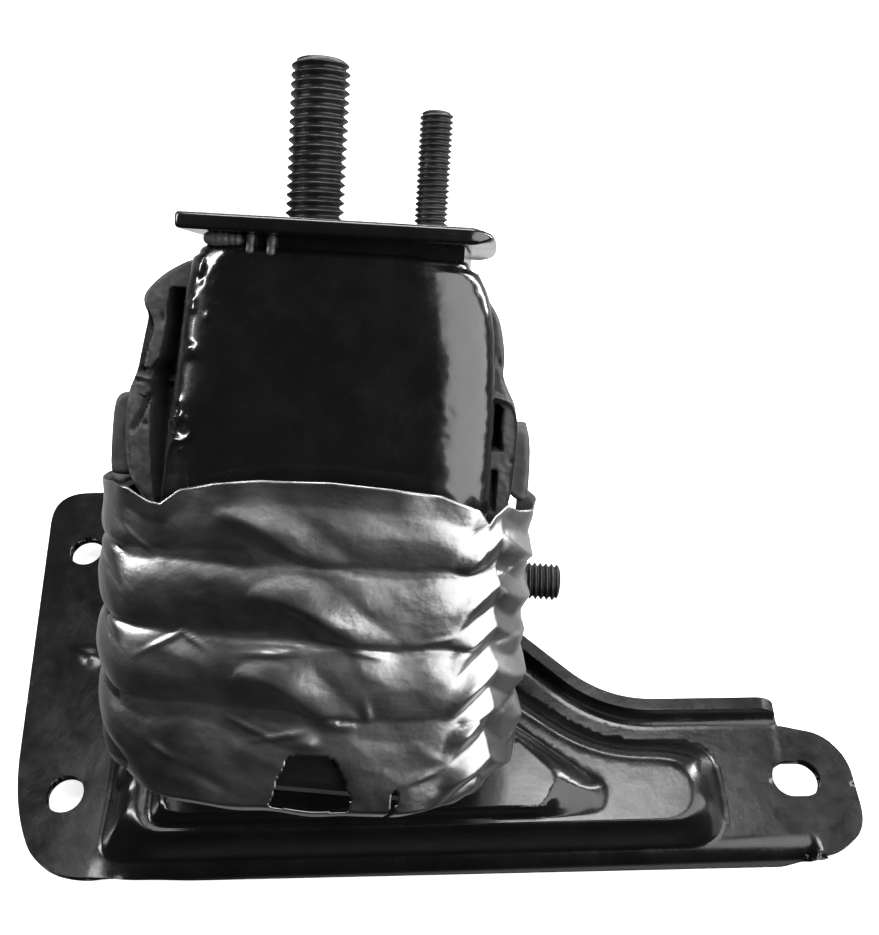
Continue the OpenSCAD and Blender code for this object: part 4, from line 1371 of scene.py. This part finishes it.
def weld(name, node, to_row, beads, material=weld_metal):
    """Weld piece of one or more beads that stands for a CAD node."""
    points, faces = joined([tube(bead(*values)) for values in beads])
    place(mesh_piece(name, to_row(points), faces), material, (node,))
    print(name, "faces:", len(faces))


CROWN_Y = -25.2
DECK_Z = 24.0  # height of the platform in the saddle frame
crown = [((-26.8, CROWN_Y, -7.9), (-18.6, CROWN_Y, -7.9), 1.75, 6, 71)]
tacks = [
    ((-16.8, CROWN_Y, -6.4), (-16.8, -26.0, -10.6), 0.95, 2, 72),
    ((-12.4, CROWN_Y, -6.4), (-12.4, -26.0, -10.8), 1.0, 2, 73),
]
weld("crown_weld_bead", "crown_weld", from_body, crown, pale_weld)
weld("crown_tack_beads", "crown_tacks", from_body, tacks, pale_weld)
for node, x, v_from, v_to, radius, drops, seed in (
    ("cheek_weld_left", -39.2, -74.0, -40.5, 1.7, 12, 74),
    ("cheek_weld_right", 39.2, -75.2, -70.4, 1.5, 3, 75),
    ("gusset_weld_left", -23.0, -90.8, -73.4, 1.5, 7, 76),
    ("gusset_weld_right", 23.0, -90.8, -73.4, 1.5, 7, 77),
):
    run = ((x, v_from, DECK_Z), (x, v_to, DECK_Z), radius, drops, seed)
    weld(node + "_bead", node, from_saddle, [run])

# %% [markdown]
# ## Finishes on the CAD nodes that stay
#
# Pieces whose shape is right keep their CAD mesh: the cup, the saddle, the gussets and the rest.
# They get a small bevel, so that their edges catch the light, and a procedural finish. The slot
# names come from the record, so the finish follows what each piece is made of.

# %% Dress the CAD nodes
finishes = {
    "black_paint": gloss_black,
    "dark_paint": satin_black,
    "weld": weld_metal,
    "rubber": rubber,
    "steel": steel,
    "foil": foil,
}
slots = {s["node"]: s["material_slot"] for s in frame["record"]["subparts"]}
for name, node in nodes.items():
    node.data.materials.clear()
    node.data.materials.append(finishes[slots[name]])
    if not node.hide_render:
        round_edges(node, "soft_edges", 0.0006, 3, 34)
nodes["base_plate"].data.materials[0] = plate_black
print("dressed:", sum(not n.hide_render for n in nodes.values()))

# %% [markdown]
# ## Floor and light
#
# The photograph has a white ground, yet its black paint mirrors a dark room. So the surroundings
# are white only to camera rays. All other rays find a room that is dark in front of the part and
# pale behind and below it, like a sheet of paper, and a few soft panels that draw the highlights.

# %% Stage
SWEEP = (0.0105, 0.60172, -0.79864)  # direction of the palest part of the room
SWEEP_TONES = [(0.0, 0.012), (0.25, 0.03), (0.62, 0.22), (1.0, 0.75)]
PANELS = (  # name, place, point it faces, size and power
    ("overhead", (100, 190, 800), (90, 40, 60), (520, 240), 5.0),
    ("right_front", (560, -190, 360), (90, 30, 70), (760, 760), 6.5),
    ("back_strip", (110, 700, 330), (100, 30, 20), (760, 60), 3.0),
    ("left_edge", (-480, 60, 420), (60, 20, 60), (70, 420), 2.6),
    ("right_edge", (560, 300, 200), (110, 40, 60), (60, 420), 2.0),
)


def studio_world():
    """World that is white for camera rays and a dark room with a pale sweep for all others."""
    world = bpy.data.worlds.new("studio")
    bpy.context.scene.world = world
    world.use_nodes = True
    tree = world.node_tree
    tree.nodes.clear()
    out = tree.nodes.new("ShaderNodeOutputWorld")
    choose = tree.nodes.new("ShaderNodeMixShader")
    path = tree.nodes.new("ShaderNodeLightPath")
    room = tree.nodes.new("ShaderNodeBackground")
    white = tree.nodes.new("ShaderNodeBackground")
    where = tree.nodes.new("ShaderNodeTexCoord")
    facing = tree.nodes.new("ShaderNodeVectorMath")
    facing.operation = "DOT_PRODUCT"
    facing.inputs[1].default_value = SWEEP
    tree.links.new(where.outputs["Generated"], facing.inputs[0])
    sheet = ramp(tree, facing.outputs["Value"], SWEEP_TONES)
    tree.links.new(sheet, room.inputs["Color"])
    room.inputs["Strength"].default_value = 1.0
    white.inputs["Color"].default_value = (1, 1, 1, 1)
    white.inputs["Strength"].default_value = 1.0
    tree.links.new(path.outputs["Is Camera Ray"], choose.inputs[0])
    tree.links.new(room.outputs[0], choose.inputs[1])
    tree.links.new(white.outputs[0], choose.inputs[2])
    tree.links.new(choose.outputs[0], out.inputs["Surface"])


def floor_sheet():
    """Plain pale floor under the plate, hidden from reflections in the gloss paint."""
    low, high, z = -1500, 1700, cad_low.z * 1000 - 0.3
    grid = [[[low, low, z], [high, low, z]], [[low, high, z], [high, high, z]]]
    piece = grid_piece("floor", np.array(grid, float))
    material, tree, shader, where = graph("pale_floor")
    pale = ramp(tree, noise(tree, where, 3.0), [(0.3, 0.93), (0.7, 0.97)])
    tree.links.new(pale, shader.inputs["Base Color"])
    shader.inputs["Roughness"].default_value = 0.9
    shader.inputs["Emission Color"].default_value = (1, 1, 1, 1)
    shader.inputs["Emission Strength"].default_value = 0.75
    piece.data.materials.append(material)
    piece.visible_glossy = False
    piece.visible_diffuse = False
    piece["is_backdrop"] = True


def panel(name, at, look, size, power):
    """Soft rectangular light that faces a point; places are in millimetres."""
    data = bpy.data.lights.new(name, "AREA")
    data.shape = "RECTANGLE"
    data.size, data.size_y = size[0] / 1000, size[1] / 1000
    data.energy = power
    lamp = bpy.data.objects.new(name, data)
    bpy.context.scene.collection.objects.link(lamp)
    lamp.location = Vector(at) / 1000
    lamp.rotation_euler = (Vector(look) - Vector(at)).to_track_quat("-Z", "Y").to_euler()
    lamp.visible_camera = False


studio_world()
floor_sheet()
for values in PANELS:
    panel(*values)
print("panels:", len(PANELS))

# %% [markdown]
# ## Camera
#
# The camera was fitted to the photograph with the sizes of the holes and of the threads. It looks
# steeply down from the front, so near parts look larger than far ones, as they do in the photo.

# %% Camera
EYE = (103.2, -103.3, 289.9)
PITCH, PAN = math.radians(53.0), math.radians(-1.0)
FOCAL_PIXELS, LONG_SIDE_PIXELS = 1035.0, 935.0
SENSOR = 36.0


def photo_camera():
    """Pinhole camera fitted to the photograph: lens = focal length in pixels, scaled to the sensor."""
    forward = turn(np.array([0, math.cos(PITCH), -math.sin(PITCH)]), PAN)
    up = turn(np.array([0, math.sin(PITCH), math.cos(PITCH)]), PAN)
    right = np.cross(forward, up)
    data = bpy.data.cameras.new("photo_camera")
    data.sensor_width = SENSOR
    data.lens = FOCAL_PIXELS * SENSOR / LONG_SIDE_PIXELS
    data.clip_start, data.clip_end = 0.01, 20.0
    camera = bpy.data.objects.new("photo_camera", data)
    bpy.context.scene.collection.objects.link(camera)
    rotation = Matrix([[right[k], up[k], -forward[k]] for k in range(3)]).to_4x4()
    camera.matrix_world = Matrix.Translation(Vector(EYE) / 1000) @ rotation
    bpy.context.scene.camera = camera
    print("lens:", round(data.lens, 1), "mm")


photo_camera()
bpy.context.scene.view_settings.view_transform = "Standard"

# %% [markdown]
# ## Sizes
#
# The sizes before and after dressing are written side by side, so that growth shows at once.

# %% Sizes and finish
low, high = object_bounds()
print("CAD size mm:", [round((b - a) * 1000, 1) for a, b in zip(cad_low, cad_high)])
print("visual size mm:", [round((b - a) * 1000, 1) for a, b in zip(low, high)])
